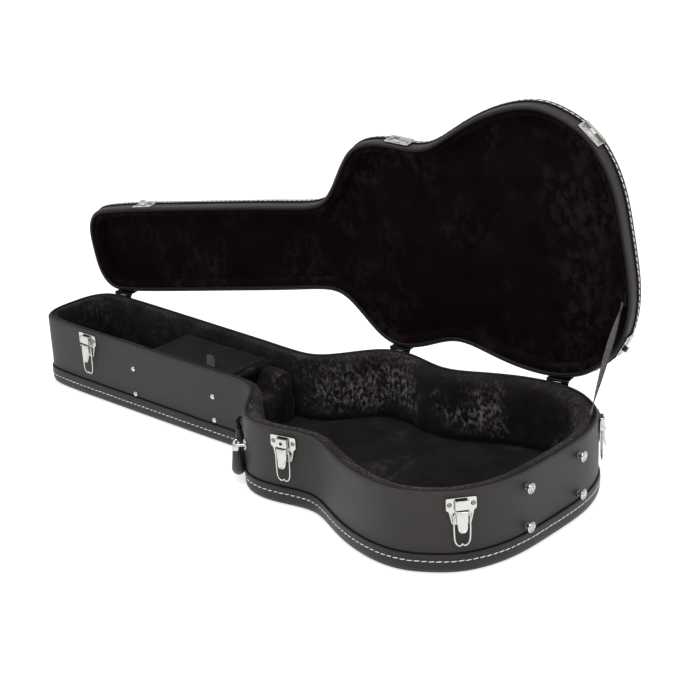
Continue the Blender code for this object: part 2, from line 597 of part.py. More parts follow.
for name, x in (("accessory_box_head_partition", BOX_X0), ("accessory_box_body_partition", BOX_X1)):
    y = inside_y(x)
    give(flat(name, [[(x - 3, -y), (x + 3, -y), (x + 3, y), (x - 3, y)]], 12.4, BOX_TOP), PLUSH, 0.95)

lid_hinge_y = min(inside_y(BOX_X0 - 3), inside_y(BOX_X1 + 3)) - 2.2
flap_axis = empty("accessory_lid_axis", ((BOX_X0 + BOX_X1) / 2, lid_hinge_y, BOX_TOP + 2.6))
reach = 2 * lid_hinge_y
hw = (BOX_X1 - BOX_X0) / 2 + 3.0
give(flat("accessory_box_lid", [[(-hw, -reach), (hw, -reach), (hw, 0), (-hw, 0)]], -2.2, 2.2, flap_axis), PLUSH, 0.95)
tab = [(-9.5, 2.6), (9.5, 2.6), (10.5, 14.0), (8.0, 20.5), (0, 23.0), (-8.0, 20.5), (-10.5, 14.0)]
give(flat("accessory_lid_tab", [tab], -0.9, 0.9, flap_axis, turn=FACING, at=(43.0, -reach + 31.0, 0)), (0.09, 0.085, 0.08), 0.8)

# neck cradle: padded block with a hollow for the neck
y = inside_y(-60.0) - 0.5
x0, x1 = BOX_X1 + 3.4, -26.0
hollow = [(24 * math.cos(a), 96 + 30 * math.sin(a)) for a in np.linspace(-math.pi, 0, 9)]
outline = [(-y, 12.4), (y, 12.4), (y, 100.0), (29, 104)] + [(px, pz) for px, pz in reversed(hollow)] + [(-29, 104), (-y, 100.0)]
give(flat("neck_cradle", [outline], x0, x1, turn=Matrix(((0, 0, 1), (1, 0, 0), (0, 1, 0)))), PLUSH, 0.95)

# ----------------------------------------------------------------- lid stay strap
lid_axis.rotation_euler = (math.radians(-LID_OPEN), 0, math.radians(HINGE_ANGLE))
bpy.context.view_layer.update()
open_turn = lid_axis.matrix_world @ closed.inverted()


def tail_wall(y):
    """Point and outward normal of the tail end of the outline at y."""
    i = int(np.argmin(np.where(FINE[:, 0] > 300, abs(FINE[:, 1] - y), 1e9)))
    d = FINE[(i + 1) % len(FINE)] - FINE[i - 1]
    n = np.array([d[1], -d[0]]) / np.linalg.norm(d)
    return FINE[i], (n if n[0] > 0 else -n)


def clamp(name, place):
    """Bar that holds the strap's end against the inner wall; returns it and the strap's end point."""
    p, n = tail_wall(place[0])
    turn = Matrix.Rotation(math.atan2(n[1], n[0]), 3, "Z")
    o = flat(name, [[(-CLAMP_THICK / 2, -11), (CLAMP_THICK / 2, -11), (CLAMP_THICK / 2, 11), (-CLAMP_THICK / 2, 11)]], -CLAMP_TALL / 2, CLAMP_TALL / 2, turn=turn, at=(*(p - n * (CLAMP_IN + CLAMP_THICK / 2)), place[1]))
    give(o, (0.05, 0.05, 0.05), 0.6)
    return o, Vector((*(p - n * (CLAMP_IN + CLAMP_THICK + GAP + STRAP_THICK * 0.8)), place[1])), Vector((-n[0], -n[1], 0))


bar, a, base_n = clamp("stay_strap_base_clamp", STRAP_BASE)
lid_axis.rotation_euler = (0, 0, math.radians(HINGE_ANGLE))
bpy.context.view_layer.update()
bar, b, lid_n = clamp("stay_strap_lid_clamp", STRAP_LID)
with_lid(bar)
lid_axis.rotation_euler = (math.radians(-LID_OPEN), 0, math.radians(HINGE_ANGLE))
bpy.context.view_layer.update()
b = (open_turn @ (b * MM)) / MM
run = (b - a)
way = run.normalized()
wide = way.cross(base_n).normalized()
mesh = bpy.data.meshes.new("stay_strap")
bm = bmesh.new()
bmesh.ops.create_cube(bm, size=1.0)
for v in bm.verts:
    v.co = Vector((v.co.x * STRAP_WIDTH, v.co.y * STRAP_THICK, v.co.z * (run.length - 15.0))) * MM
bm.to_mesh(mesh)
bm.free()
strap = link(bpy.data.objects.new("stay_strap", mesh))
thick = way.cross(wide).normalized()
rot = Matrix((wide, thick, way)).transposed()
strap.rotation_euler = rot.to_euler()
strap.location = ((a + b) / 2 + way * 1.5 - thick * 0.6) * MM
give(strap, (0.05, 0.05, 0.05), 0.8)

bpy.context.view_layer.update()
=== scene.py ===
"""Looks of the open guitar case: fine shells, plush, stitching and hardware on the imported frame."""
import math
import random

import bmesh
import bpy
import numpy as np
from mathutils import Matrix, Vector, noise


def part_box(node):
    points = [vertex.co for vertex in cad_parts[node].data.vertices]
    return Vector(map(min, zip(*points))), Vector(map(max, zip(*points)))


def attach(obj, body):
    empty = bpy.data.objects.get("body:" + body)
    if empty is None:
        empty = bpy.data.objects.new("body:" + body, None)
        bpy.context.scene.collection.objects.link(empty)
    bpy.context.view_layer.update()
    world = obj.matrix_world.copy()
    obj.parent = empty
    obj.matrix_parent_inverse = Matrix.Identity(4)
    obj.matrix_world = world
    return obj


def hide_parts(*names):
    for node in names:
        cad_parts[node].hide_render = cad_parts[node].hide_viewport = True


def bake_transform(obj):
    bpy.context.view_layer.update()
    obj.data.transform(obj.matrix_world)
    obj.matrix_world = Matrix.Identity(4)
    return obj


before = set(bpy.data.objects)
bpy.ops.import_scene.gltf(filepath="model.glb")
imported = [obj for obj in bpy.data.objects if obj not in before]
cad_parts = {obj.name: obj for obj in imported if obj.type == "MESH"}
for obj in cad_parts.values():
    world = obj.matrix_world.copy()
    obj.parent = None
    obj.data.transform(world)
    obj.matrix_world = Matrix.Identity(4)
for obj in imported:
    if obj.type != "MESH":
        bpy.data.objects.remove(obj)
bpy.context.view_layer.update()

rng = random.Random(7)
MM = 0.001

# ---------------------------------------------------------------- shared dimensions (mm), as in the CAD
PARTING_Z, PLY, BAND_PROUD, BASE_BAND_Z, LID_BAND_Z = 130.3, 6.0, 2.8, 31.0, 152.0
NECK_PAD, BODY_PAD = 9.0, 20.0
HINGE_ANGLE, HINGE_Y_AT_TAIL, LID_OPEN = 9.0, 249.4, 87.8
LATCHES = {"neck": (-402.5, -1), "upper_bout": (171.0, -1), "lower_bout": (511.0, -1), "tail": (511.0, 1)}
STATIONS = [(547.5, 0), (545.5, 71), (534.5, 123), (512, 167), (480, 196), (439, 217), (387, 221), (327, 208), (272, 185),
            (219, 165.5), (168, 172), (123, 178.5), (83, 169), (53, 140), (28, 106), (1, 82), (-39, 75.5), (-104, 77),
            (-224, 79), (-374, 81), (-492, 80), (-524, 72), (-542.5, 47), (-547.5, 0)]


# ---------------------------------------------------------------- materials
def new_mat(name):
    m = bpy.data.materials.new(name)
    m.use_nodes = True
    nt = m.node_tree
    return m, nt, nt.nodes["Principled BSDF"]


def texco(nt):
    return nt.nodes.new("ShaderNodeTexCoord").outputs["Object"]


def noise_tex(nt, vec, scale, detail=4.0, rough=0.55, stretch=None):
    if stretch is not None:
        mp = nt.nodes.new("ShaderNodeMapping")
        mp.inputs["Scale"].default_value = stretch
        nt.links.new(vec, mp.inputs["Vector"])
        vec = mp.outputs["Vector"]
    n = nt.nodes.new("ShaderNodeTexNoise")
    n.inputs["Scale"].default_value = scale
    n.inputs["Detail"].default_value = detail
    n.inputs["Roughness"].default_value = rough
    nt.links.new(vec, n.inputs["Vector"])
    return n.outputs["Fac"]


def voronoi_tex(nt, vec, scale, feature="DISTANCE_TO_EDGE"):
    n = nt.nodes.new("ShaderNodeTexVoronoi")
    n.feature = feature
    n.inputs["Scale"].default_value = scale
    nt.links.new(vec, n.inputs["Vector"])
    return n.outputs["Distance"]


def ramp(nt, fac, stops):
    r = nt.nodes.new("ShaderNodeValToRGB")
    el = r.color_ramp.elements
    while len(el) < len(stops):
        el.new(0.5)
    for e, (p, c) in zip(el, stops):
        e.position = p
        e.color = (*c, 1) if len(c) == 3 else c
    nt.links.new(fac, r.inputs["Fac"])
    return r.outputs["Color"]


def remap(nt, fac, a, b, c, d):
    m = nt.nodes.new("ShaderNodeMapRange")
    m.inputs["From Min"].default_value = a
    m.inputs["From Max"].default_value = b
    m.inputs["To Min"].default_value = c
    m.inputs["To Max"].default_value = d
    nt.links.new(fac, m.inputs["Value"])
    return m.outputs["Result"]


def bump(nt, height, distance, strength=1.0, normal=None):
    b = nt.nodes.new("ShaderNodeBump")
    b.inputs["Strength"].default_value = strength
    b.inputs["Distance"].default_value = distance
    nt.links.new(height, b.inputs["Height"])
    if normal is not None:
        nt.links.new(normal, b.inputs["Normal"])
    return b.outputs["Normal"]


def leatherette(name, dark, light, rough=(0.42, 0.56), grain=900.0, depth=0.00022, coat=0.0, spec=0.5):
    m, nt, b = new_mat(name)
    v = texco(nt)
    cells = voronoi_tex(nt, v, grain)
    fine = noise_tex(nt, v, grain * 1.7, 3.0)
    wear = noise_tex(nt, v, 14.0, 5.0, 0.6)
    nt.links.new(ramp(nt, wear, [(0.3, dark), (0.72, light)]), b.inputs["Base Color"])
    nt.links.new(remap(nt, wear, 0.25, 0.75, *rough), b.inputs["Roughness"])
    n1 = bump(nt, remap(nt, cells, 0.0, 0.25, 0.0, 1.0), depth)
    n2 = bump(nt, fine, depth * 0.5, 0.6, n1)
    n3 = bump(nt, noise_tex(nt, v, 22.0, 2.0), 0.0006, 0.5, n2)
    nt.links.new(n3, b.inputs["Normal"])
    b.inputs["Specular IOR Level"].default_value = spec
    if coat:
        b.inputs["Coat Weight"].default_value = coat
        b.inputs["Coat Roughness"].default_value = 0.3
    return m


def math_node(nt, op, a, b, c=None):
    m = nt.nodes.new("ShaderNodeMath")
    m.operation = op
    for i, q in enumerate((a, b, c)):
        if q is None:
            continue
        if isinstance(q, (int, float)):
            m.inputs[i].default_value = q
        else:
            nt.links.new(q, m.inputs[i])
    return m.outputs[0]


def plush(name, dark, mid, light, sheen=0.1, tint=(0.62, 0.55, 0.66), scale=9.0, clump=115.0, deep=0.0016, gate=(0.46, 0.60), band=None, spec=0.12):
    """Crushed pile: clumped patches painted lighter as sheen highlights, with lit specks, smooth dark pile between."""
    m, nt, b = new_mat(name)
    v = texco(nt)
    # painted sheen: noise patches where the pile is painted lighter, standing for light catching the nap
    sheen_patch = remap(nt, noise_tex(nt, v, scale, 3.0, 0.6), gate[0], gate[1], 0.0, 1.0)
    clumps = noise_tex(nt, v, clump, 3.0, 0.62, (1.0, 1.0, 0.6))
    fibre = noise_tex(nt, v, clump * 4.2, 2.0, 0.6, (1.0, 1.0, 0.45))
    # painted glints: clumps over a threshold become lit specks inside the sheen patches
    glint_specks = remap(nt, math_node(nt, "MULTIPLY_ADD", fibre, 0.35, clumps), 0.62, 0.82, 0.0, 1.0)
    sheen_and_tone = math_node(nt, "MULTIPLY", sheen_patch, glint_specks)
    # painted shade and highlight by height: no sheen patches near the floor, fewer near the top
    if band is not None:
        sep = nt.nodes.new("ShaderNodeSeparateXYZ")
        nt.links.new(v, sep.inputs[0])
        low = remap(nt, sep.outputs["Z"], band[0], band[1], 0.0, 1.0)
        high = remap(nt, sep.outputs["Z"], band[2], band[3], 1.0, 0.25)
        sheen_and_tone = math_node(nt, "MULTIPLY", math_node(nt, "MULTIPLY", low, high), sheen_and_tone)
        neck = remap(nt, sep.outputs["X"], -0.10, 0.10, 0.22, 1.0)  # the painted sheen patches thin out towards the narrow end
        sheen_and_tone = math_node(nt, "MULTIPLY", neck, sheen_and_tone)
        # painted highlight: a lighter clumped strip along the top of the padding
        rim = remap(nt, sep.outputs["Z"], band[2], band[3], 0.0, 0.15)
        sheen_and_tone = math_node(nt, "ADD", sheen_and_tone, math_node(nt, "MULTIPLY", rim, remap(nt, clumps, 0.3, 0.7, 0.4, 1.4)))
    sheen_and_tone = math_node(nt, "ADD", sheen_and_tone, remap(nt, noise_tex(nt, v, scale * 3.1, 4.0, 0.6), 0.35, 0.7, 0.0, 0.16))
    # dark pile colour, mid tone, and the light colour of the painted sheen
    nt.links.new(ramp(nt, sheen_and_tone, [(0.0, dark), (0.22, mid), (1.0, light)]), b.inputs["Base Color"])
    b.inputs["Roughness"].default_value = 0.9
    b.inputs["Specular IOR Level"].default_value = spec
    b.inputs["Sheen Weight"].default_value = sheen
    b.inputs["Sheen Roughness"].default_value = 0.4
    b.inputs["Sheen Tint"].default_value = (*tint, 1)
    n1 = bump(nt, noise_tex(nt, v, scale * 2.6, 3.0), deep * 2.0, 0.6)
    n2 = bump(nt, clumps, deep * 1.3, 0.9, n1)
    n3 = bump(nt, fibre, 0.0005, 0.7, n2)
    nt.links.new(n3, b.inputs["Normal"])
    return m


def metal(name, colour=(0.80, 0.80, 0.81), rough=(0.10, 0.22), grain=60.0):
    m, nt, b = new_mat(name)
    v = texco(nt)
    b.inputs["Metallic"].default_value = 1.0
    b.inputs["Base Color"].default_value = (*colour, 1)
    n = noise_tex(nt, v, grain, 5.0, 0.65)
    nt.links.new(remap(nt, n, 0.3, 0.7, *rough), b.inputs["Roughness"])
    nt.links.new(bump(nt, noise_tex(nt, v, 420.0, 3.0), 0.00005, 0.5), b.inputs["Normal"])
    return m


def satin(name, colour, rough=0.35, speck=0.25):
    m, nt, b = new_mat(name)
    v = texco(nt)
    n = noise_tex(nt, v, 180.0, 4.0)
    c2 = tuple(min(1, c * (1 + speck) + 0.004) for c in colour)
    nt.links.new(ramp(nt, n, [(0.3, colour), (0.75, c2)]), b.inputs["Base Color"])
    nt.links.new(remap(nt, n, 0.3, 0.7, rough * 0.85, rough * 1.2), b.inputs["Roughness"])
    nt.links.new(bump(nt, n, 0.00012, 0.6), b.inputs["Normal"])
    return m


def thread_mat(name, colour):
    m, nt, b = new_mat(name)
    v = texco(nt)
    w = nt.nodes.new("ShaderNodeTexWave")
    w.inputs["Scale"].default_value = 900.0
    w.inputs["Distortion"].default_value = 2.0
    nt.links.new(v, w.inputs["Vector"])
    nt.links.new(ramp(nt, w.outputs["Fac"], [(0.1, tuple(c * 0.78 for c in colour)), (0.8, colour)]), b.inputs["Base Color"])
    b.inputs["Roughness"].default_value = 0.75
    b.inputs["Sheen Weight"].default_value = 0.3
    nt.links.new(bump(nt, w.outputs["Fac"], 0.0002, 0.8), b.inputs["Normal"])
    return m


def webbing_mat(name, dark, light, along):
    """Woven strap: ribs across and ribs along, by UV in millimetres."""
    m, nt, b = new_mat(name)
    uv = nt.nodes.new("ShaderNodeTexCoord").outputs["UV"]
    outs = []
    for axis, scale in (("X", 1.0), ("Y", 1.0)):
        w = nt.nodes.new("ShaderNodeTexWave")
        w.bands_direction = axis
        w.inputs["Scale"].default_value = scale * along
        w.inputs["Distortion"].default_value = 0.4
        nt.links.new(uv, w.inputs["Vector"])
        outs.append(w.outputs["Fac"])
    mul = nt.nodes.new("ShaderNodeMath")
    mul.operation = "MULTIPLY"
    nt.links.new(outs[0], mul.inputs[0])
    nt.links.new(outs[1], mul.inputs[1])
    nt.links.new(ramp(nt, mul.outputs[0], [(0.1, dark), (0.8, light)]), b.inputs["Base Color"])
    b.inputs["Roughness"].default_value = 0.7
    b.inputs["Sheen Weight"].default_value = 0.3
    nt.links.new(bump(nt, mul.outputs[0], 0.0005, 0.9), b.inputs["Normal"])
    return m


M_WALL = leatherette("wall_leatherette", (0.0112, 0.0084, 0.0074), (0.0175, 0.0140, 0.0126), (0.42, 0.54), spec=0.38)
M_BAND = leatherette("band_leatherette", (0.0062, 0.0050, 0.0045), (0.0100, 0.0085, 0.0078), (0.38, 0.50), spec=0.32)
M_TOP = leatherette("panel_leatherette", (0.0130, 0.0112, 0.0102), (0.0215, 0.0190, 0.0175), (0.45, 0.6))
M_PIPE = satin("rim_edging", (0.0020, 0.0018, 0.0018), 0.55)
M_PIPE.node_tree.nodes["Principled BSDF"].inputs["Specular IOR Level"].default_value = 0.2
# painted shade: matte black for shade in seams and holes
M_SHADE_BLACK = satin("painted_shade_black", (0.0010, 0.0009, 0.0009), 0.85)
M_SHADE_BLACK.node_tree.nodes["Principled BSDF"].inputs["Specular IOR Level"].default_value = 0.1
# plush linings: the light colours are painted sheen patches and glints; the wall's band adds painted shade low down and
# a painted highlight strip at the rim
M_PLUSH = plush("plush_wall", (0.0018, 0.0010, 0.0019), (0.0125, 0.0100, 0.0116), (0.125, 0.113, 0.127), 0.08, scale=7.5, clump=185.0, gate=(0.44, 0.57), band=(0.018, 0.050, 0.098, 0.120))
M_BLOCK = plush("plush_block", (0.0016, 0.0009, 0.0016), (0.0120, 0.0095, 0.0112), (0.075, 0.066, 0.078), 0.10)
M_FLOOR = plush("plush_floor", (0.0030, 0.0019, 0.0028), (0.0105, 0.0085, 0.0095), (0.026, 0.024, 0.024), 0.08, scale=7.0, clump=60.0, deep=0.0007, gate=(0.52, 0.70))
M_LIDIN = plush("plush_lid", (0.0022, 0.0006, 0.0018), (0.0052, 0.0026, 0.0044), (0.0100, 0.0070, 0.0090), 0.0, spec=0.04, scale=8.0, clump=80.0, deep=0.0010)
M_CHROME = metal("plated_steel", (0.52, 0.515, 0.495), (0.12, 0.26))
M_BRUSH = metal("plated_steel_worn", (0.42, 0.41, 0.40), (0.22, 0.38), 90.0)
# dim steel for rivets and foot posts, also painted shade on the far handle bracket
M_RIVET_AND_SHADE = metal("rivet_and_shaded_steel", (0.22, 0.215, 0.21), (0.25, 0.40), 90.0)
M_DARKM = metal("shadowed_steel", (0.018, 0.018, 0.018), (0.45, 0.6), 90.0)
M_GRIP = leatherette("grip_leatherette", (0.0075, 0.0070, 0.0064), (0.0135, 0.0125, 0.0115), (0.34, 0.48), 700.0, 0.0003)
M_THREAD = thread_mat("white_thread", (0.90, 0.88, 0.82))
M_BLACKTHREAD = thread_mat("black_thread", (0.01, 0.01, 0.01))
M_WEB = webbing_mat("stay_webbing", (0.0022, 0.0020, 0.0021), (0.0070, 0.0064, 0.0066), 0.55)
M_TAB = webbing_mat("tab_webbing", (0.007, 0.006, 0.006), (0.024, 0.021, 0.020), 0.8)


# ---------------------------------------------------------------- outline
def closed_spline(points):
    p = np.array(points, float)
    n = len(p)
    step = np.sqrt(np.linalg.norm(np.roll(p, -1, 0) - p, axis=1))
    a, rhs = np.zeros((n, n)), np.zeros((n, 2))
    for i in range(n):
        h0, h1 = step[i - 1], step[i]
        a[i, i - 1] += h0
        a[i, i] += 2 * (h0 + h1)
        a[i, (i + 1) % n] += h1
        rhs[i] = 6 * ((p[(i + 1) % n] - p[i]) / h1 - (p[i] - p[i - 1]) / h0)
    m = np.linalg.solve(a, rhs)
    knots = np.r_[0, np.cumsum(step)]

    def at(t):
        u = (t % 1.0) * knots[-1]
        i = min(int(np.searchsorted(knots, u, side="right")) - 1, n - 1)
        h, j = step[i], (i + 1) % n
        x0, x1 = knots[i + 1] - u, u - knots[i]
        return (m[i] * x0**3 + m[j] * x1**3) / (6 * h) + (p[i] / h - m[i] * h / 6) * x0 + (p[j] / h - m[j] * h / 6) * x1

    return at


curve_at = closed_spline(STATIONS + [(x, -y) for x, y in STATIONS[-2:0:-1]])
DENSE = np.array([curve_at(t) for t in np.linspace(0, 1, 6001)[:-1]])
_seg = np.linalg.norm(np.roll(DENSE, -1, 0) - DENSE, axis=1)
_cum = np.r_[0, np.cumsum(_seg)]
PERIM = float(_cum[-1])


def outline(n, offset=0.0, phase=0.0):
    """n points evenly along the outline, with outward normals; offset is not used."""
    s = (np.arange(n) + phase) / n * PERIM
    ext = np.vstack([DENSE, DENSE[:1]])
    p = np.c_[np.interp(s, _cum, ext[:, 0]), np.interp(s, _cum, ext[:, 1])]
    q0 = np.c_[np.interp((s - 1.5) % PERIM, _cum, ext[:, 0]), np.interp((s - 1.5) % PERIM, _cum, ext[:, 1])]
    q1 = np.c_[np.interp((s + 1.5) % PERIM, _cum, ext[:, 0]), np.interp((s + 1.5) % PERIM, _cum, ext[:, 1])]
    t = q1 - q0
    t /= np.linalg.norm(t, axis=1)[:, None]
    nrm = np.c_[t[:, 1], -t[:, 0]]
    return p, nrm, t, s


def body_share(x):
    t = np.clip((x + 15) / 75.0, 0, 1)
    return t * t * (3 - 2 * t)


def on_outline(x, side):
    half = DENSE[: len(DENSE) // 2]
    i = int(np.argmin(abs(half[:, 0] - x)))
    p, d = half[i], half[min(i + 1, len(half) - 1)] - half[i - 1]
    n = np.array([-d[1], d[0]]) / np.linalg.norm(d)
    if n @ (p - np.array([p[0] * 0.9, 0])) < 0:
        n = -n
    return np.array([p[0], side * p[1]]), np.array([n[0], side * n[1]])


def seat(p, n, half_width, extra=0.0):
    t = np.array([-n[1], n[0]])
    u, h = (DENSE - p) @ t, (DENSE - p) @ n
    near = (abs(u) < half_width) & (abs(h) < 25)
    return float(h[near].max()) + extra


def hinge_y(x):
    return HINGE_Y_AT_TAIL + math.tan(math.radians(HINGE_ANGLE)) * (x - 547.5)


K = Vector((math.cos(math.radians(HINGE_ANGLE)), math.sin(math.radians(HINGE_ANGLE)), 0))
PIVOT = Vector((0, hinge_y(0), PARTING_Z)) * MM
OPEN = Matrix.Translation(PIVOT) @ Matrix.Rotation(math.radians(-LID_OPEN), 4, K) @ Matrix.Translation(-PIVOT)


# ---------------------------------------------------------------- mesh helpers (mm in, metres out)
def make(name, verts, faces, mat, body, smooth=True, lid=False, uvs=None, sharp=35.0):
    mesh = bpy.data.meshes.new(name)
    v = [Vector(q) * MM for q in verts]
    if lid:
        v = [OPEN @ q for q in v]
    mesh.from_pydata([tuple(q) for q in v], [], faces)
    if uvs is not None:
        layer = mesh.uv_layers.new(name="UVMap")
        for loop in mesh.loops:
            layer.data[loop.index].uv = uvs[loop.vertex_index]
    mesh.validate()
    mesh.update()
    if smooth:
        mesh.shade_smooth()
        mesh.set_sharp_from_angle(angle=math.radians(sharp))
    mesh.materials.append(mat)
    o = bpy.data.objects.new(name, mesh)
    bpy.context.scene.collection.objects.link(o)
    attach(o, body)
    return o


def sweep(name, profile, mat, body, n=360, lid=False, shape=None, closed=True, sharp=50.0):
    """Profile of (outward offset, height) round the outline. shape(x, s, j, d, z, p, nrm) -> (d, z) bends it."""
    p, nrm, t, s = outline(n)
    k = len(profile)
    verts, faces = [], []
    for i in range(n):
        for j, (d, z) in enumerate(profile):
            if shape is not None:
                d, z = shape(p[i, 0], s[i], j, d, z, p[i], nrm[i])
            q = p[i] + nrm[i] * d
            verts.append((q[0], q[1], z))
    for i in range(n):
        a, b = i * k, ((i + 1) % n) * k
        for j in range(k if closed else k - 1):
            j2 = (j + 1) % k
            faces.append((a + j, a + j2, b + j2, b + j))
    o = make(name, verts, faces, mat, body, True, lid, None, sharp)
    fix_normals(o)
    return o


def fix_normals(o):
    bm = bmesh.new()
    bm.from_mesh(o.data)
    bmesh.ops.recalc_face_normals(bm, faces=bm.faces)
    bm.to_mesh(o.data)
    bm.free()


def arc(cx, cy, r, a0, a1, n):
    return [(cx + r * math.cos(math.radians(a0 + (a1 - a0) * i / n)), cy + r * math.sin(math.radians(a0 + (a1 - a0) * i / n))) for i in range(n + 1)]


def from_bm(name, bm, mat, body, world, lid=False, sharp=35.0):
    """bmesh in the local frame (mm) -> object at world matrix (m)."""
    mesh = bpy.data.meshes.new(name)
    bmesh.ops.recalc_face_normals(bm, faces=bm.faces)
    bm.to_mesh(mesh)
    bm.free()
    m = world @ Matrix.Scale(MM, 4)
    if lid:
        m = OPEN @ m
    mesh.transform(m)
    mesh.shade_smooth()
    mesh.set_sharp_from_angle(angle=math.radians(sharp))
    mesh.materials.append(mat)
    o = bpy.data.objects.new(name, mesh)
    bpy.context.scene.collection.objects.link(o)
    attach(o, body)
    return o


def prism(bm, pts, y0, y1, bevel=0.0, seg=2):
    """Outline (x, z) extruded along -y (outwards) from y0 to y1, edges rounded."""
    part = bmesh.new()
    a = [part.verts.new((x, -y0, z)) for x, z in pts]
    b = [part.verts.new((x, -y1, z)) for x, z in pts]
    part.faces.new(a)
    part.faces.new(b[::-1])
    n = len(pts)
    for i in range(n):
        part.faces.new((a[i], b[i], b[(i + 1) % n], a[(i + 1) % n]))
    bmesh.ops.recalc_face_normals(part, faces=part.faces)
    if bevel:
        bmesh.ops.bevel(part, geom=list(part.edges), offset=bevel, segments=seg, affect="EDGES", profile=0.6, clamp_overlap=True)
    merge(bm, part)


def merge(bm, part):
    me = bpy.data.meshes.new("tmp")
    part.to_mesh(me)
    part.free()
    bm.from_mesh(me)
    bpy.data.meshes.remove(me)


def lathe(bm, prof, at, axis, seg=32):
    """(radius, height) profile turned about axis through at."""
    part = bmesh.new()
    rot = Vector(axis).to_track_quat("Z", "Y").to_matrix().to_4x4()
    m = Matrix.Translation(Vector(at)) @ rot
    rings = []
    for r, h in prof:
        if r < 1e-6:
            rings.append([part.verts.new(m @ Vector((0, 0, h)))])
        else:
            rings.append([part.verts.new(m @ Vector((r * math.cos(2 * math.pi * i / seg), r * math.sin(2 * math.pi * i / seg), h))) for i in range(seg)])
    for r0, r1 in zip(rings, rings[1:]):
        for i in range(seg):
            i2 = (i + 1) % seg
            if len(r0) == 1 and len(r1) == 1:
                continue
            if len(r0) == 1:
                part.faces.new((r0[0], r1[i], r1[i2]))
            elif len(r1) == 1:
                part.faces.new((r0[i], r1[0], r0[i2]))
            else:
                part.faces.new((r0[i], r1[i], r1[i2], r0[i2]))
    merge(bm, part)


def wire(bm, pts, r, seg=12, closed=False):
    """Round wire through points (x, y, z); r may be a list."""
    part = bmesh.new()
    pts = [Vector(q) for q in pts]
    n = len(pts)
    rad = r if isinstance(r, (list, tuple)) else [r] * n
    rings, ref = [], None
    for i, q in enumerate(pts):
        a = pts[(i - 1) % n] if (closed or i) else pts[i]
        b = pts[(i + 1) % n] if (closed or i < n - 1) else pts[i]
        t = (b - a).normalized()
        if ref is None:
            ref = t.orthogonal().normalized()
        ref = (ref - t * ref.dot(t)).normalized()
        side = t.cross(ref)
        rings.append([part.verts.new(q + (ref * math.cos(2 * math.pi * k / seg) + side * math.sin(2 * math.pi * k / seg)) * rad[i]) for k in range(seg)])
    for i in range(n if closed else n - 1):
        r0, r1 = rings[i], rings[(i + 1) % n]
        for k in range(seg):
            part.faces.new((r0[k], r0[(k + 1) % seg], r1[(k + 1) % seg], r1[k]))
    if not closed:
        part.faces.new(rings[0][::-1])
        part.faces.new(rings[-1])
    merge(bm, part)


def smooth_path(pts, per=6):
    """Catmull-Rom through the points."""
    pts = [Vector(q) for q in pts]
    out = []
    for i in range(len(pts) - 1):
        p0, p1, p2, p3 = pts[max(i - 1, 0)], pts[i], pts[i + 1], pts[min(i + 2, len(pts) - 1)]
        for k in range(per):
            t = k / per
            out.append(0.5 * ((2 * p1) + (p2 - p0) * t + (2 * p0 - 5 * p1 + 4 * p2 - p3) * t * t + (3 * p1 - p0 - 3 * p2 + p3) * t**3))
    out.append(pts[-1])
    return out


def fbm(x, y, z, scale, octaves=3):
    return noise.fractal(Vector((x, y, z)) * scale, 0.9, 2.0, octaves)


# ---------------------------------------------------------------- base shell
wall_prof = [(0.0, 29.0), (0.0, 33.0)] + [(0.0, z) for z in (45, 60, 75, 90, 105, 118)] + arc(-3.6, 125.2, 3.6, 0, 90, 6) + [(-5.4, 128.8), (-6.0, 127.0), (-6.0, 100.0), (-6.0, 29.0)]


def wall_wave(x, s, j, d, z, p, nrm):
    if d == 0.0:
        d += 0.25 * fbm(p[0], p[1], z, 0.012)
    return d, z


o = sweep("base_wall_covering", wall_prof, M_WALL, "base", shape=wall_wave)
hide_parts("base_wall")

band_prof = [(-0.2, 31.6), (0.5, 31.5)] + arc(1.2, 29.9, 1.6, 80, 0, 4) + [(2.8, 26.0), (2.8, 18.0), (2.8, 12.5), (2.5, 9.0), (1.7, 6.0), (0.4, 3.6), (-1.4, 1.8), (-3.8, 0.75), (-7.4, 0.4), (-8.4, 2.0), (-4.0, 6.0), (-0.8, 16.0)]
o = sweep("base_band_strip", band_prof, M_BAND, "base")
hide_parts("base_edge_band")
# painted shade: a black strip in the seam above the edge band
sweep("base_band_groove_shade", [(-0.1, 31.2), (0.9, 31.3), (1.5, 31.9), (1.3, 32.9), (0.5, 33.4), (-0.1, 33.5)], M_SHADE_BLACK, "base")


def panel(name, offset, z0, z1, mat, body, lid=False, n=200, edge=1.2):
    p, nrm, t, s = outline(n)
    bm = bmesh.new()
    q = p + nrm * offset
    prism(bm, [(a, b) for a, b in q], 0, 1)
    for v in bm.verts:
        v.co = Vector((v.co.x, v.co.z, z0 if v.co.y > -0.5 else z1))
    o = from_bm(name, bm, mat, body, Matrix.Identity(4), lid)
    return o


o = panel("base_underside", -7.2, 0.05, 8.4, M_TOP, "base")
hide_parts("base_bottom_panel")

pipe_prof = [(-7.6, 124.0), (-7.8, 127.4)] + arc(-5.3, 127.75, 2.45, 175, 5, 10) + [(-3.0, 126.4), (-5.0, 124.4)]
o = sweep("base_rim_roll", pipe_prof, M_PIPE, "base")
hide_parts("base_rim_piping")


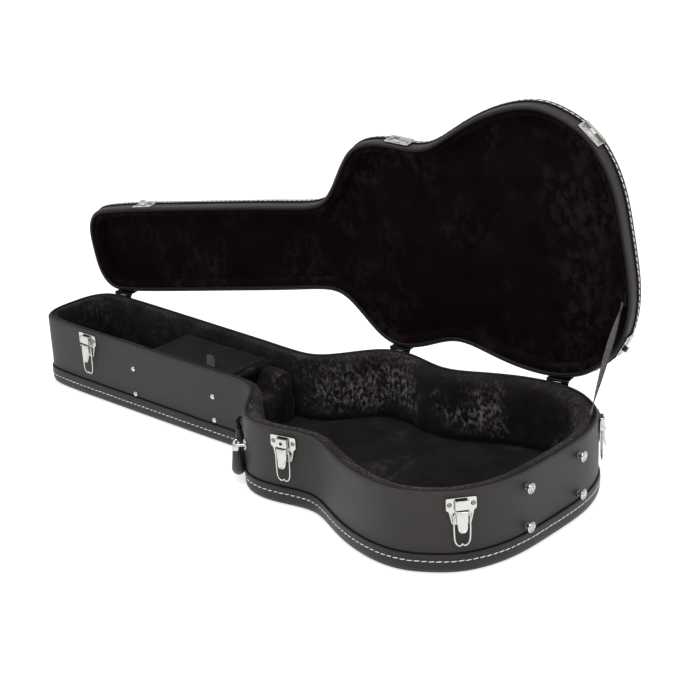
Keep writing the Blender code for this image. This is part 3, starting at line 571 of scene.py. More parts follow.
def stitches(name, offset, z, body, length=5.6, pitch=8.4, lid=False, r=0.5, mat=None, lean=0.0, skip=None, rise_by=0.0):
    """One line of sewn thread: separate dashes that dip into the covering at both ends."""
    count = int(PERIM / pitch)
    p, nrm, t, s = outline(count)
    verts, faces = [], []
    for i in range(count):
        if skip is not None and skip(p[i]):
            continue
        c = p[i] + nrm[i] * offset
        L = length * rng.uniform(0.88, 1.08)
        dz = rng.uniform(-0.25, 0.25) + rise_by * float(body_share(p[i][0]))
        base = len(verts)
        steps, sides = 6, 6
        for a in range(steps + 1):
            f = a / steps
            u = (f - 0.5) * L
            rr = r * math.sin(math.pi * (0.12 + 0.76 * f)) ** 0.5
            lift = 0.25 - 0.75 * (2 * f - 1) ** 4
            for k in range(sides):
                an = 2 * math.pi * k / sides
                dn = rr * math.cos(an) + lift
                hz = rr * math.sin(an) + dz + lean * (f - 0.5)
                q = c + t[i] * u + nrm[i] * dn
                verts.append((q[0], q[1], z + hz))
        for a in range(steps):
            for k in range(sides):
                k2 = (k + 1) % sides
                faces.append((base + a * sides + k, base + a * sides + k2, base + (a + 1) * sides + k2, base + (a + 1) * sides + k))
    o = make(name, verts, faces, mat or M_THREAD, body, True, lid, None, 80)
    fix_normals(o)
    return o


stitches("base_band_stitches", 2.8, 18.4, "base", length=8.9, pitch=10.4, r=0.64, rise_by=2.8, lean=0.9)

# ---------------------------------------------------------------- lid shell (drawn closed, turned open)
Z2 = 2 * PARTING_Z + 0.4


def flip(profile):
    return [(d, Z2 - z) for d, z in profile]


lid_wall_prof = [(0.0, 158.5), (0.0, 150.0), (0.0, 143.0)] + [(d, z) for d, z in arc(-3.6, 135.4, 3.6, 0, -90, 6)] + [(-5.4, 131.8), (-6.0, 133.6), (-6.0, 145.0), (-6.0, 158.5)]
o = sweep("lid_wall_covering", lid_wall_prof, M_WALL, "lid", lid=True, shape=wall_wave)
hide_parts("lid_wall")
lid_band_prof = [(-0.2, 151.4), (0.5, 151.5)] + arc(1.2, 153.1, 1.6, -80, 0, 4) + [(2.8, 156.0), (2.6, 158.6), (1.9, 161.4), (0.6, 163.6), (-1.4, 165.2), (-4.0, 166.1), (-8.4, 166.3), (-9.0, 163.0), (-4.0, 160.0), (-0.8, 156.0)]
o = sweep("lid_band_strip", lid_band_prof, M_BAND, "lid", lid=True)
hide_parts("lid_edge_band")
# painted shade: a black strip in the seam at the lid's edge band
sweep("lid_band_groove_shade", [(-0.1, 151.8), (0.9, 151.7), (1.4, 151.2), (1.2, 150.4), (0.5, 150.0), (-0.1, 149.9)], M_SHADE_BLACK, "lid", lid=True)
o = panel("lid_top_covering", -7.6, 158.5, 166.15, M_TOP, "lid", True)
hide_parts("lid_top_panel")
o = sweep("lid_rim_roll", flip(pipe_prof), M_PIPE, "lid", lid=True)
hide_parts("lid_rim_piping")
stitches("lid_band_stitches", 2.70, 153.0, "lid", length=8.9, pitch=10.4, r=0.72, lid=True, lean=0.9)

# ---------------------------------------------------------------- plush linings


def padding(name, node, z0, z1, depth_of, mat, body, lid=False, n=560, rows=22, puff=1.0, seed=0.0):
    """Padded ring against the inner wall: rounded at the rim, tucked in at the floor, crushed all over."""
    p, nrm, t, s = outline(n)
    verts, faces = [], []
    up = 1.0 if z1 > z0 else -1.0
    tall = abs(z1 - z0)
    prof = []
    for j in range(rows + 1):
        f = j / rows
        prof.append((f, f))
    for i in range(n):
        depth = depth_of(p[i, 0])
        col = []
        # from the wall over the crown and down to the floor
        for j in range(7):
            a = math.radians(90 * j / 6)
            rr = min(depth * 0.55, tall * 0.16)
            col.append((depth - rr + rr * math.sin(a) if j else 0.0, tall - rr + rr * math.cos(a)))
        top = col[-1][1]
        for j in range(1, rows + 1):
            f = j / rows
            bulge = math.sin(math.pi * min(1, f)) ** 0.7 * depth * 0.10
            tuck = max(0.0, (f - 0.86) / 0.14) ** 2 * depth * 0.45
            col.append((depth + bulge - tuck, top * (1 - f)))
        for j, (d, h) in enumerate(col):
            if j:
                w = min(1.0, j / 5)
                q = p[i] - nrm[i] * d
                lump = fbm(q[0] + seed, q[1], h * 0.7, 0.020, 3) * 2.6 + fbm(q[0], q[1] + seed, h * 0.55, 0.06, 2) * 1.1
                d = d + w * lump * puff
            q = p[i] - nrm[i] * (PLY + 1.2 + d)
            verts.append((q[0], q[1], z0 + up * h))
        k = len(col)
    for i in range(n):
        a, b = i * k, ((i + 1) % n) * k
        for j in range(k - 1):
            faces.append((a + j, a + j + 1, b + j + 1, b + j))
    # back and under faces close the pad
    for i in range(n):
        a, b = i * k, ((i + 1) % n) * k
        faces.append((a + k - 1, a, b, b + k - 1))
    o = make(name, verts, faces, mat, body, True, lid, None, 60)
    fix_normals(o)
    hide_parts(node)
    return o


padding("base_plush_wall", "base_wall_padding", 12.0, 127.4, lambda x: NECK_PAD + (BODY_PAD - NECK_PAD) * float(body_share(x)), M_PLUSH, "base")
padding("lid_plush_edge", "lid_wall_padding", 158.0, 134.6, lambda x: 11.0, M_LIDIN, "lid", lid=True, rows=8, puff=0.45, seed=300.0)


def floor_pad(name, node, z, sign, mat, body, lid=False, offset=-8.6, seed=0.0, amp=1.0):
    """Quilted floor: grid clipped to the outline, gently waved, with crush marks."""
    p, nrm, t, s = outline(300)
    q = p + nrm * offset
    bm = bmesh.new()
    loop = [bm.verts.new((a, b, z)) for a, b in q]
    bm.faces.new(loop)
    for axis, lo, hi, step in ((0, -545, 545, 9.0), (1, -225, 225, 9.0)):
        v = lo
        while v < hi:
            co, no = [0, 0, 0], [0, 0, 0]
            co[axis], no[axis] = v, 1
            bmesh.ops.bisect_plane(bm, geom=list(bm.verts) + list(bm.edges) + list(bm.faces), plane_co=co, plane_no=no)
            v += step
    for v in bm.verts:
        x, y = v.co.x, v.co.y
        v.co.z = z + sign * amp * (1.1 * fbm(x + seed, y, 0, 0.010, 3) + 0.5 * fbm(x, y + seed, 5, 0.045, 2))
    top = list(bm.verts)
    ext = bmesh.ops.extrude_face_region(bm, geom=list(bm.faces))
    for v in [g for g in ext["geom"] if isinstance(g, bmesh.types.BMVert)]:
        v.co.z = z - sign * 3.0
    o = from_bm(name, bm, mat, body, Matrix.Identity(4), lid, 60)
    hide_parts(node)
    return o


floor_pad("base_plush_floor", "base_floor_lining", 12.4, 1.0, M_FLOOR, "base")
floor_pad("lid_plush_panel", "lid_panel_lining", 154.6, -1.0, M_LIDIN, "lid", lid=True, seed=90.0)

# ---------------------------------------------------------------- hardware
LATCH_DROP = {"neck": 0.0, "upper_bout": 3.5, "lower_bout": 3.5, "tail": 0.0}
LATCH_SEAT = {"upper_bout": 1.381}  # packed out where the wall is hollow
HEAD = [(2.9, 0.0), (2.8, 0.5), (2.2, 1.15), (1.2, 1.55), (0.0, 1.7)]
for tag, (lx, side) in LATCHES.items():
    p, nrm = on_outline(lx, side)
    rise = seat(p, nrm, 23.0) + LATCH_SEAT.get(tag, 0.0)
    turn = math.atan2(nrm[0], -nrm[1])
    lidw = Matrix.Translation(Vector((p[0], p[1], 0)) * MM) @ Matrix.Rotation(turn, 4, "Z") @ Matrix.Translation(Vector((0, -rise * MM, 0)))
    world = Matrix.Translation((0, 0, -LATCH_DROP[tag] * MM)) @ lidw
    # plate: shouldered outline, edges rounded
    half = [(10.8, 82.2), (13.2, 82.8), (14.4, 84.6), (16.2, 93.0), (17.9, 101.2), (18.6, 103.0), (21.0, 104.4), (21.9, 106.0), (22.0, 121.0), (21.4, 122.8), (19.6, 123.4)]
    bm = bmesh.new()
    prism(bm, half + [(-x, z) for x, z in half[::-1]], 0.2, 1.5, 0.35)
    rv = bmesh.new()
    for x in (-17.0, 17.0):
        lathe(rv, HEAD, (x, -1.45, 113.5), (0, -1, 0), 20)
    from_bm(f"{tag}_latch_rivets", rv, M_RIVET_AND_SHADE, "base", world)
    # painted shade: a dark disc behind each rivet head outlines it
    rv = bmesh.new()
    for x in (-17.0, 17.0):
        lathe(rv, [(0, 0), (3.5, 0), (3.5, 0.12), (0, 0.12)], (x, -1.44, 113.5), (0, -1, 0), 24)
    from_bm(f"{tag}_latch_rivet_shade_rings", rv, M_DARKM, "base", world)
    # pressed ribs beside the lever
    for sx in (-1, 1):
        wire(bm, [(sx * 12.6, -1.5, 84.5), (sx * 13.9, -1.6, 91), (sx * 15.4, -1.6, 99)], 0.7, 8)
    o = from_bm(f"{tag}_latch_plate", bm, M_CHROME, "base", world)
    # housing: embossed block with rounded shoulders, seams at its ends
    bm = bmesh.new()
    prism(bm, [(-8.9, 106.4), (8.9, 106.4), (9.8, 107.3), (9.8, 119.6), (8.9, 120.6), (-8.9, 120.6), (-9.8, 119.6), (-9.8, 107.3)], 1.2, 8.2, 1.3, 3)
    for x in (-9.4, 9.4):
        part = bmesh.new()
        pts = [(1.0, 99.6), (8.2, 99.8), (10.3, 101.4), (10.7, 103.6), (9.9, 105.7), (8.2, 106.6), (1.0, 106.8)]
        a = [part.verts.new((x - 0.5, -s, z)) for s, z in pts]
        b = [part.verts.new((x + 0.5, -s, z)) for s, z in pts]
        part.faces.new(a)
        part.faces.new(b[::-1])
        for i in range(len(pts)):
            part.faces.new((a[i], b[i], b[(i + 1) % len(pts)], a[(i + 1) % len(pts)]))
        bmesh.ops.recalc_face_normals(part, faces=part.faces)
        bmesh.ops.bevel(part, geom=list(part.edges), offset=0.25, segments=2, affect="EDGES", clamp_overlap=True)
        merge(bm, part)
    lathe(bm, [(0, -10.4), (1.4, -10.3), (1.6, -10.0), (0.9, -9.8), (0.9, 9.8), (1.6, 10.0), (1.4, 10.3), (0, 10.4)], (0, -8.6, 103.6), (1, 0, 0), 16)
    o2 = from_bm(f"{tag}_latch_housing", bm, M_CHROME, "base", world)
    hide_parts(f"latch_{tag}_plate")
    # painted shade: dark sheets in the slots at the housing's two ends, beside it and beside the lever
    bm = bmesh.new()
    prism(bm, [(-8.8, 120.7), (8.8, 120.7), (8.8, 122.3), (-8.8, 122.3)], 1.35, 2.6, 0.1, 1)
    prism(bm, [(-8.6, 104.7), (8.6, 104.7), (8.6, 106.7), (-8.6, 106.7)], 1.35, 8.0, 0.1, 1)
    for sx in (-1, 1):
        q = [(sx * 10.0, 107.0), (sx * 10.8, 107.0), (sx * 10.8, 119.5), (sx * 10.0, 119.5)]
        prism(bm, q if sx > 0 else q[::-1], 1.35, 1.8, 0.1, 1)
    for sx in (-1, 1):
        q = [(sx * 9.6, 86.0), (sx * 10.6, 86.0), (sx * 12.6, 98.2), (sx * 10.6, 98.2)]
        prism(bm, q if sx > 0 else q[::-1], 1.35, 1.75, 0.1, 1)
    from_bm(f"{tag}_latch_slot_shade", bm, M_DARKM, "base", world)
    # lever: waisted tongue with a rolled tip
    bm = bmesh.new()
    half = [(1.8, 72.6), (4.0, 73.2), (5.6, 74.8), (6.6, 77.2), (7.0, 80.6), (7.3, 85.0), (8.0, 88.0), (8.2, 90.0), (8.2, 102.4)]
    prism(bm, half + [(-x, z) for x, z in half[::-1]], 6.6, 8.4, 0.6, 3)
    prism(bm, [(-4.2, 76.8), (4.2, 76.8), (5.4, 89.0), (5.6, 98.6), (-5.6, 98.6), (-5.4, 89.0)], 8.2, 8.9, 0.5, 3)
    for sx in (-1, 1):
        prism(bm, [(sx * 8.3, 91.0), (sx * 8.3, 105.0), (sx * 7.4, 105.0), (sx * 7.4, 91.0)], 3.0, 8.2, 0.3, 2)
    wire(bm, [(-3.8, -7.6, 75.4), (-2.0, -7.7, 74.3), (0, -7.7, 74.0), (2.0, -7.7, 74.3), (3.8, -7.6, 75.4)], [0.9, 1.3, 1.4, 1.3, 0.9], 12)
    lathe(bm, [(0, -8.3), (1.7, -8.3), (1.8, -8.0), (1.8, 8.0), (1.7, 8.3), (0, 8.3)], (0, -8.2, 102.8), (1, 0, 0), 20)
    for v in bm.verts:  # the tongue curls away from the plate towards its tip
        if v.co.z < 88.0:
            v.co.y -= 3.0 * ((88.0 - v.co.z) / 15.0) ** 2
    o = from_bm(f"{tag}_latch_tongue", bm, M_CHROME, f"{tag}_lever", world)
    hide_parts(f"latch_{tag}_lever")
    # bail
    w, L = 11.7, 48.0
    hp = [(5.6, 0), (9.4, 0), (w - 0.6, -0.8), (w, -2.8), (w, -12), (w, -24), (w - 0.3, -31), (w - 0.7, -L + 10), (w - 2.3, -L + 4.6), (w - 5.4, -L + 1.0), (3.6, -L + 0.1), (1.7, -L + 1.2), (0, -L + 2.4)]
    path = smooth_path([(x, -5.0, 98.0 + z) for x, z in hp + [(-x, z) for x, z in hp[-2::-1]]], 4)
    bm = bmesh.new()
    wire(bm, path, 1.25, 12)
    o = from_bm(f"{tag}_latch_bail", bm, M_CHROME, f"{tag}_bail", world, sharp=80)
    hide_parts(f"latch_{tag}_bail")
    # keeper on the lid
    bm = bmesh.new()
    pts = [(-22.0, 134.0), (-21.2, 133.2), (21.2, 133.2), (22.0, 134.0), (22.0, 149.6), (-22.0, 149.6)]
    prism(bm, pts, 0.3, 1.6, 0.3)
    step = BAND_PROUD + 0.3
    part = bmesh.new()
    prof = [(0.3, 148.9), (step, 151.0), (step, 157.6), (step + 1.2, 157.9), (step + 1.2, 150.6), (1.5, 148.6)]
    a = [part.verts.new((-20.5, -s, z)) for s, z in prof]
    b = [part.verts.new((20.5, -s, z)) for s, z in prof]
    part.faces.new(a)
    part.faces.new(b[::-1])
    for i in range(len(prof)):
        part.faces.new((a[i], b[i], b[(i + 1) % len(prof)], a[(i + 1) % len(prof)]))
    bmesh.ops.recalc_face_normals(part, faces=part.faces)
    bmesh.ops.bevel(part, geom=list(part.edges), offset=0.3, segments=2, affect="EDGES", clamp_overlap=True)
    merge(bm, part)
    rv = bmesh.new()
    for x in (-16.5, 16.5):
        lathe(rv, HEAD, (x, -1.5, 142.0), (0, -1, 0), 20)
    from_bm(f"{tag}_keeper_rivets", rv, M_RIVET_AND_SHADE, "lid", lidw, True)
    # hook: tongue that stands off and turns down over the bail
    arm = 139.0 if LATCH_DROP[tag] == 0 else 135.5
    hook = [(1.0, arm), (8.8, arm), (10.2, arm + 0.7), (10.6, arm + 2.0), (10.5, arm + 6.0), (9.9, arm + 6.6), (9.3, arm + 6.0), (9.2, arm + 2.4), (8.4, arm + 1.5), (1.0, arm + 1.5)]
    part = bmesh.new()
    a = [part.verts.new((-5.4, -s, z)) for s, z in hook]
    b = [part.verts.new((5.4, -s, z)) for s, z in hook]
    part.faces.new(a)
    part.faces.new(b[::-1])
    for i in range(len(hook)):
        part.faces.new((a[i], b[i], b[(i + 1) % len(hook)], a[(i + 1) % len(hook)]))
    bmesh.ops.recalc_face_normals(part, faces=part.faces)
    bmesh.ops.bevel(part, geom=list(part.edges), offset=0.35, segments=2, affect="EDGES", clamp_overlap=True)
    merge(bm, part)
    o = from_bm(f"{tag}_keeper_plate", bm, M_CHROME, "lid", lidw, True)
    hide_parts(f"keeper_{tag}")

# lock: plug with keyway in its ring
p, nrm = on_outline(171.0, -1)
rise = seat(p, nrm, 23.0) + LATCH_SEAT["upper_bout"]
world = Matrix.Translation(Vector((p[0], p[1], -3.5)) * MM) @ Matrix.Rotation(math.atan2(nrm[0], -nrm[1]), 4, "Z") @ Matrix.Translation(Vector((0, -rise * MM, 0)))
bm = bmesh.new()
lathe(bm, [(0, 0.0), (3.2, 0.0), (3.2, 1.2), (2.9, 1.5), (0, 1.5)], (0, -7.6, 113.6), (0, -1, 0), 28)
o = from_bm("lock_plug", bm, M_BRUSH, "lock", world)
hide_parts("lock_cylinder")
# painted shade: a black disc and slot for the keyway's shaded recess
bm = bmesh.new()
lathe(bm, [(0, 0), (2.35, 0), (2.35, 0.12), (0, 0.12)], (0, -9.02, 113.6), (0, -1, 0), 20)
prism(bm, [(-0.7, 111.3), (0.7, 111.3), (0.7, 113.8), (-0.7, 113.8)], 9.0, 9.2)
from_bm("lock_keyhole_shade", bm, M_SHADE_BLACK, "lock", world)

# ---------------------------------------------------------------- tail feet, partition rivets
for side_name, y in (("left", -64.0), ("right", 64.0)):
    for lvl, z in (("low", 43.0), ("high", 105.0)):
        lo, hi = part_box(f"tail_foot_{side_name}_{lvl}")
        tail = DENSE[DENSE[:, 0] > 300]
        i = int(np.argmin(abs(tail[:, 1] - y)))
        d = tail[i + 1] - tail[i - 1]
        nn = np.array([d[1], -d[0]]) / np.linalg.norm(d)
        if nn[0] < 0:
            nn = -nn
        at_ = (tail[i][0], tail[i][1], z)
        ax_ = (nn[0], nn[1], 0)
        bm = bmesh.new()
        lathe(bm, [(0, 7.0), (7.2, 7.1), (8.2, 7.7), (8.3, 8.6), (8.2, 9.8), (7.5, 10.6), (6.6, 10.9), (6.2, 10.3), (5.7, 10.3), (5.3, 11.0), (3.6, 11.2), (3.2, 10.6), (2.7, 10.6), (2.3, 11.2), (1.2, 11.5), (0, 11.6)], at_, ax_, 40)
        o = from_bm(f"foot_{side_name}_{lvl}", bm, M_CHROME, "base", Matrix.Identity(4))
        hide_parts(f"tail_foot_{side_name}_{lvl}")
        bm = bmesh.new()
        lathe(bm, [(0, 0.3), (4.4, 0.3), (4.8, 0.8), (4.6, 1.5), (3.3, 2.3), (3.2, 7.1), (0, 7.1)], at_, ax_, 28)
        from_bm(f"foot_post_{side_name}_{lvl}", bm, M_RIVET_AND_SHADE, "base", Matrix.Identity(4))
        # painted shade: thin dark rings in the disc's two grooves
        bm = bmesh.new()
        for r_, h_ in ((5.95, 10.32), (2.95, 10.62)):
            lathe(bm, [(r_ - 0.45, h_), (r_ + 0.45, h_), (r_ + 0.45, h_ + 0.12), (r_ - 0.45, h_ + 0.12), (r_ - 0.45, h_)], at_, ax_, 40)
        from_bm(f"foot_groove_shade_{side_name}_{lvl}", bm, M_DARKM, "base", Matrix.Identity(4))

for tag, x, zs in (("head", -285.5, (37.0, 84.5)), ("body", -89.5, (39.0, 82.0))):
    p, nrm = on_outline(x, -1)
    for lvl, z in zip(("low", "high"), zs):
        bm = bmesh.new()
        lathe(bm, [(0, 0.1), (4.6, 0.1), (4.7, 0.5), (4.2, 1.3), (3.0, 2.0), (1.5, 2.4), (0, 2.5)], (p[0], p[1], z), (nrm[0], nrm[1], 0), 28)
        o = from_bm(f"partition_stud_{tag}_{lvl}", bm, M_CHROME, "base", Matrix.Identity(4))
        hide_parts(f"partition_rivet_{tag}_{lvl}")

# ---------------------------------------------------------------- handle
near, far = Vector((81.0, -168.0, 0)), Vector((8.0, -91.0, 0))
along = (near - far).normalized()
out = Vector((along.y, -along.x, 0))
if out.x > 0:
    out = -out
span = (near - far).length
mid = (near + far) / 2 + out * 15.0 + Vector((0, 0, 77.0))
hw = Matrix.Translation(mid * MM) @ Matrix.Rotation(math.atan2(along.y, along.x), 4, "Z")
x1 = span / 2 - 12.6
path, rad = [], []
for i in range(49):
    a_ = math.pi * i / 48
    sd = -1 if math.cos(a_) > 0 else 1
    sn = max(0.0, math.sin(a_))
    path.append((sd * x1 * abs(math.cos(a_)) ** 0.62, 0, -12.5 - 43.0 * sn**0.62))
    # full under the near collar, drawn out thin where it runs up to the far eye
    base_r = 6.8 if math.cos(a_) < 0 else 4.6
    rad.append(base_r + (11.2 - base_r) * min(1.0, sn * 1.1) ** 0.7)
bm = bmesh.new()
wire(bm, path, rad, 28)
for v in bm.verts:
    v.co.z += 0.35 * fbm(v.co.x, v.co.y, v.co.z, 0.12, 2)
    v.co.y += 0.30 * fbm(v.co.y, v.co.x, v.co.z, 0.12, 2)
o = from_bm("handle_padded_grip", bm, M_GRIP, "handle", hw, sharp=80)
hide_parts("handle_grip")
# sewn seam under the grip
bm = bmesh.new()
for i in range(4, 45):
    a, b = Vector(path[i]), Vector(path[min(i + 1, 48)])
    t = (b - a).normalized()
    dn = Vector((-t.z, 0, t.x))
    if dn.z > 0:
        dn = -dn
    c = a + dn * (rad[i] - 0.1)
    wire(bm, [c - t * 0.9 - dn * 0.3, c + dn * 0.25, c + t * 0.9 - dn * 0.3], 0.38, 6)
from_bm("handle_seam", bm, M_BLACKTHREAD, "handle", hw, sharp=80)
for name, sx in (("near", 1), ("far", -1)):
    # chrome cap over the grip's end, eye turning on the bracket's pin; the far end's cap in shadowed steel as painted
    # shade
    bm = bmesh.new()
    cx = sx * x1
    if sx > 0:
        lathe(bm, [(0, 3.4), (6.4, 3.6), (7.9, 4.4), (8.2, 5.4), (8.2, 10.8), (7.9, 11.8), (7.2, 12.6), (6.4, 12.8)], (cx, 0, 0), (0, 0, -1), 32)
    else:
        lathe(bm, [(0, 4.4), (2.6, 4.6), (3.6, 6.0), (4.4, 9.0), (4.9, 12.6), (4.6, 13.2)], (cx, 0, 0), (0, 0, -1), 28)
    rr_ = 4.8 if sx > 0 else 3.3
    lathe(bm, [(2.6, -3.0), (rr_, -3.0), (rr_ + 0.6, -2.4), (rr_ + 0.6, 2.4), (rr_, 3.0), (2.6, 3.0), (2.6, -3.0)], (cx, 0, 0), (1, 0, 0), 28)
    o = from_bm(f"handle_cap_{name}", bm, M_CHROME if sx > 0 else M_DARKM, "handle", hw)
    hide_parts(f"handle_end_{name}")
    # bracket: oval plate and post; the far plate in dimmer steel and far post in shadowed steel as painted shade
    wp = near if sx > 0 else far
    half = DENSE[len(DENSE) // 2:]
    i = int(np.argmin(((half - np.array([wp.x, wp.y])) ** 2).sum(1)))
    d = half[i + 1] - half[i - 1]
    nn = np.array([d[1], -d[0]]) / np.linalg.norm(d)
    if nn[1] > 0:
        nn = -nn
    bp = Matrix.Translation(Vector((half[i][0], half[i][1], 0)) * MM) @ Matrix.Rotation(math.atan2(nn[0], -nn[1]), 4, "Z")
    rs = seat(half[i], nn, 7.0)
    bm = bmesh.new()
    prism(bm, [(8.2 * math.cos(a), 77.0 + 9.6 * math.sin(a)) for a in np.linspace(0, 2 * math.pi, 33)[:-1]], rs + 0.1, rs + 1.9, 0.5, 2)
    for z in (70.6, 84.6):
        lathe(bm, [(2.1, 0), (2.0, 0.5), (1.2, 1.1), (0, 1.3)], (0, -rs - 1.8, z), (0, -1, 0), 16)
    o = from_bm(f"handle_base_{name}", bm, M_CHROME if sx > 0 else M_RIVET_AND_SHADE, "base", bp)
    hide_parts(f"handle_bracket_{name}")
    a = Vector((half[i][0], half[i][1], 77.0)) + Vector((nn[0], nn[1], 0)) * (rs + 1.0)
    b = (hw @ Vector((sx * span / 2 * MM, 0, 0))) / MM
    c = (hw @ Vector(((sx * span / 2 - sx * 15.4) * MM, 0, 0))) / MM
    bm = bmesh.new()
    wire(bm, smooth_path([a, a.lerp(b, 0.55), b.lerp(a, 0.12), b.lerp(c, 0.14), b.lerp(c, 0.5), c], 5), 2.25 if sx > 0 else 1.7, 14)
    from_bm(f"handle_post_{name}", bm, M_CHROME if sx > 0 else M_DARKM, "base", Matrix.Identity(4), sharp=80)

# ---------------------------------------------------------------- hinges keep their solids
for name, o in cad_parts.items():
    if name.startswith("hinge_"):
        for sl in o.material_slots:
            sl.material = M_DARKM

# ---------------------------------------------------------------- neck fittings


def soft_block(name, node, mat, body, grow=0.0, cuts=14, radius=5.0, lumps=1.2, cap=4.0, frames=16, seed=0.0, soften=3):
    """Padded block: the CAD solid's box shape remeshed and blown up a little with cloth."""
    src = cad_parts[node]
    me = src.data.copy()
    o = bpy.data.objects.new(name, me)
    bpy.context.scene.collection.objects.link(o)
    bm = bmesh.new()
    bm.from_mesh(me)
    c = sum((v.co for v in bm.verts), Vector()) / len(bm.verts)
    lo = Vector([min(v.co[i] for v in bm.verts) for i in range(3)])
    hi = Vector([max(v.co[i] for v in bm.verts) for i in range(3)])
    size = hi - lo
    for v in bm.verts:
        for i in range(3):
            k = 1 - min(0.18, 2 * 0.0012 / max(size[i], 1e-4))
            v.co[i] = (lo[i] + hi[i]) / 2 + (v.co[i] - (lo[i] + hi[i]) / 2) * k
    bm.to_mesh(me)
    bm.free()
    me.materials.clear()
    me.materials.append(mat)
    bpy.context.view_layer.objects.active = o
    r = o.modifiers.new("remesh", "REMESH")
    r.mode = "VOXEL"
    r.voxel_size = 0.004 if min(size) > 0.012 else max(0.0016, min(size) * 0.45)
    sm = o.modifiers.new("smooth", "SMOOTH")
    sm.iterations = soften
    dg = bpy.context.evaluated_depsgraph_get()
    baked = bpy.data.meshes.new_from_object(o.evaluated_get(dg))
    o.modifiers.clear()
    o.data = baked
    rest = np.array([v.co[:] for v in baked.vertices])
    if frames:
        cl = o.modifiers.new("cloth", "CLOTH")
        cl.settings.use_pressure = True
        cl.settings.uniform_pressure_force = 4.0
        cl.settings.effector_weights.gravity = 0.0
        cl.settings.quality = 5
        cl.point_cache.frame_start = 1
        cl.point_cache.frame_end = frames
        sc = bpy.context.scene
        for f in range(1, frames + 1):
            sc.frame_set(f)
        dg = bpy.context.evaluated_depsgraph_get()
        sim = bpy.data.meshes.new_from_object(o.evaluated_get(dg))
        o.modifiers.clear()
        sc.frame_set(1)
        pos = np.array([v.co[:] for v in sim.vertices])
        if len(pos) == len(rest):
            move = pos - rest
            ln = np.linalg.norm(move, axis=1)
            scale = np.minimum(1.0, cap * MM / np.maximum(ln, 1e-9))
            pos = rest + move * scale[:, None]
            for v, q in zip(baked.vertices, pos):
                v.co = q
    # crush marks, kept inside the CAD solid's box
    nrm = [v.normal.copy() for v in baked.vertices]
    for v, nn in zip(baked.vertices, nrm):
        q = v.co / MM
        v.co = v.co + nn * (lumps * fbm(q.x + seed, q.y, q.z, 0.035, 3) * MM)
        for i in range(3):
            v.co[i] = min(max(v.co[i], lo[i] + 0.0001), hi[i] - 0.0001)
    sub = o.modifiers.new("subdivision", "SUBSURF")
    sub.levels = sub.render_levels = 1
    baked.shade_smooth()
    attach(o, body)
    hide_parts(node)
    return o


soft_block("neck_cradle_pad", "neck_cradle", M_BLOCK, "base", lumps=3.2, cap=5.0, soften=34)
soft_block("box_partition_head", "accessory_box_head_partition", M_BLOCK, "base", lumps=0.8, cap=1.5, seed=20)
soft_block("box_partition_body", "accessory_box_body_partition", M_BLOCK, "base", lumps=0.8, cap=1.5, seed=40)
soft_block("accessory_flap_pad", "accessory_box_lid", M_FLOOR, "accessory_flap", lumps=0.9, cap=1.2, seed=60)

# plush rolled over the partition's top edge
lo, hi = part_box("accessory_box_body_partition")
px0 = hi.x / MM + 3.2
roll_pts = [(px0 + 1.6 * fbm(0, y, 3, 0.03, 2), y, hi.z / MM - 2.0 + 1.8 * fbm(9, y, 0, 0.03, 2)) for y in np.linspace(lo.y / MM + 4, hi.y / MM - 4, 60)]
roll_rad = [5.4 + 1.5 * fbm(4, q[1], 8, 0.035, 2) for q in roll_pts]
bm = bmesh.new()
wire(bm, roll_pts, roll_rad, 24)
for v in bm.verts:
    v.co += Vector((1, 0, 1)) * 0.8 * fbm(v.co.x, v.co.y, v.co.z, 0.09, 2)
o = from_bm("box_partition_roll", bm, M_BLOCK, "base", Matrix.Identity(4), sharp=80)

# pull tab: folded webbing loop
lo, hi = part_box("accessory_lid_tab")
cx, cy = (lo.x + hi.x) / 2 / MM, (lo.y + hi.y) / 2 / MM
z0 = lo.z / MM
verts, faces, uvs = [], [], []
steps, cols = 16, 8
for side in (-1, 1):
    base = len(verts)
    for a in range(steps + 1):
        f = a / steps
        h = f * (hi.z - lo.z) / MM
        wv = 10.0 * (1 - 0.25 * max(0, (f - 0.55) / 0.45) ** 2)
        for b in range(cols + 1):
            g = b / cols * 2 - 1
            drop = 2.6 * g * g * max(0, f - 0.5) * 1.4
            verts.append((cx + g * wv, cy + side * 0.75 * (1 - f**6) + 1.2 * math.sin(f * 2.2), z0 + h - drop))
            uvs.append((g * wv, h + side * 30))
    for a in range(steps):
        for b in range(cols):
            q = base + a * (cols + 1) + b
            faces.append((q, q + 1, q + cols + 2, q + cols + 1))
o = make("accessory_pull_tab", verts, faces, M_TAB, "accessory_flap", True, False, uvs)
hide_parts("accessory_lid_tab")

# ---------------------------------------------------------------- stay strap
for n_ in ("stay_strap_base_clamp", "stay_strap_lid_clamp"):
    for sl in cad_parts[n_].material_slots:
        sl.material = M_PIPE
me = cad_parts["stay_strap"].data
pts = sorted((v.co.copy() for v in me.vertices), key=lambda q: q.z)
groups = []
for q in pts:
    for g in groups:
        if (g[0] - q).length < 0.03:
            g.append(q)
            break
    else:
        groups.append([q])
ends = sorted((sum(g, Vector()) / len(g) for g in groups), key=lambda q: q.z)
a, b = ends[0], ends[-1]
way = (b - a).normalized()
g0 = groups[0]
cand = sorted(((q - a) - way * (q - a).dot(way) for q in g0), key=lambda q: -q.length)
diag = cand[0]
side_a = max(((g0[i_] - g0[j_]) for i_ in range(len(g0)) for j_ in range(len(g0)) if 0.017 < (g0[i_] - g0[j_]).length < 0.01902), key=lambda q: q.length)
wide = (side_a - way * side_a.dot(way)).normalized()
thick = way.cross(wide).normalized()
verts, faces, uvs = [], [], []
STRAP_TWIST = math.radians(36.0)
steps, W, T = 60, 9.6, 0.75
L = (b - a).length / MM
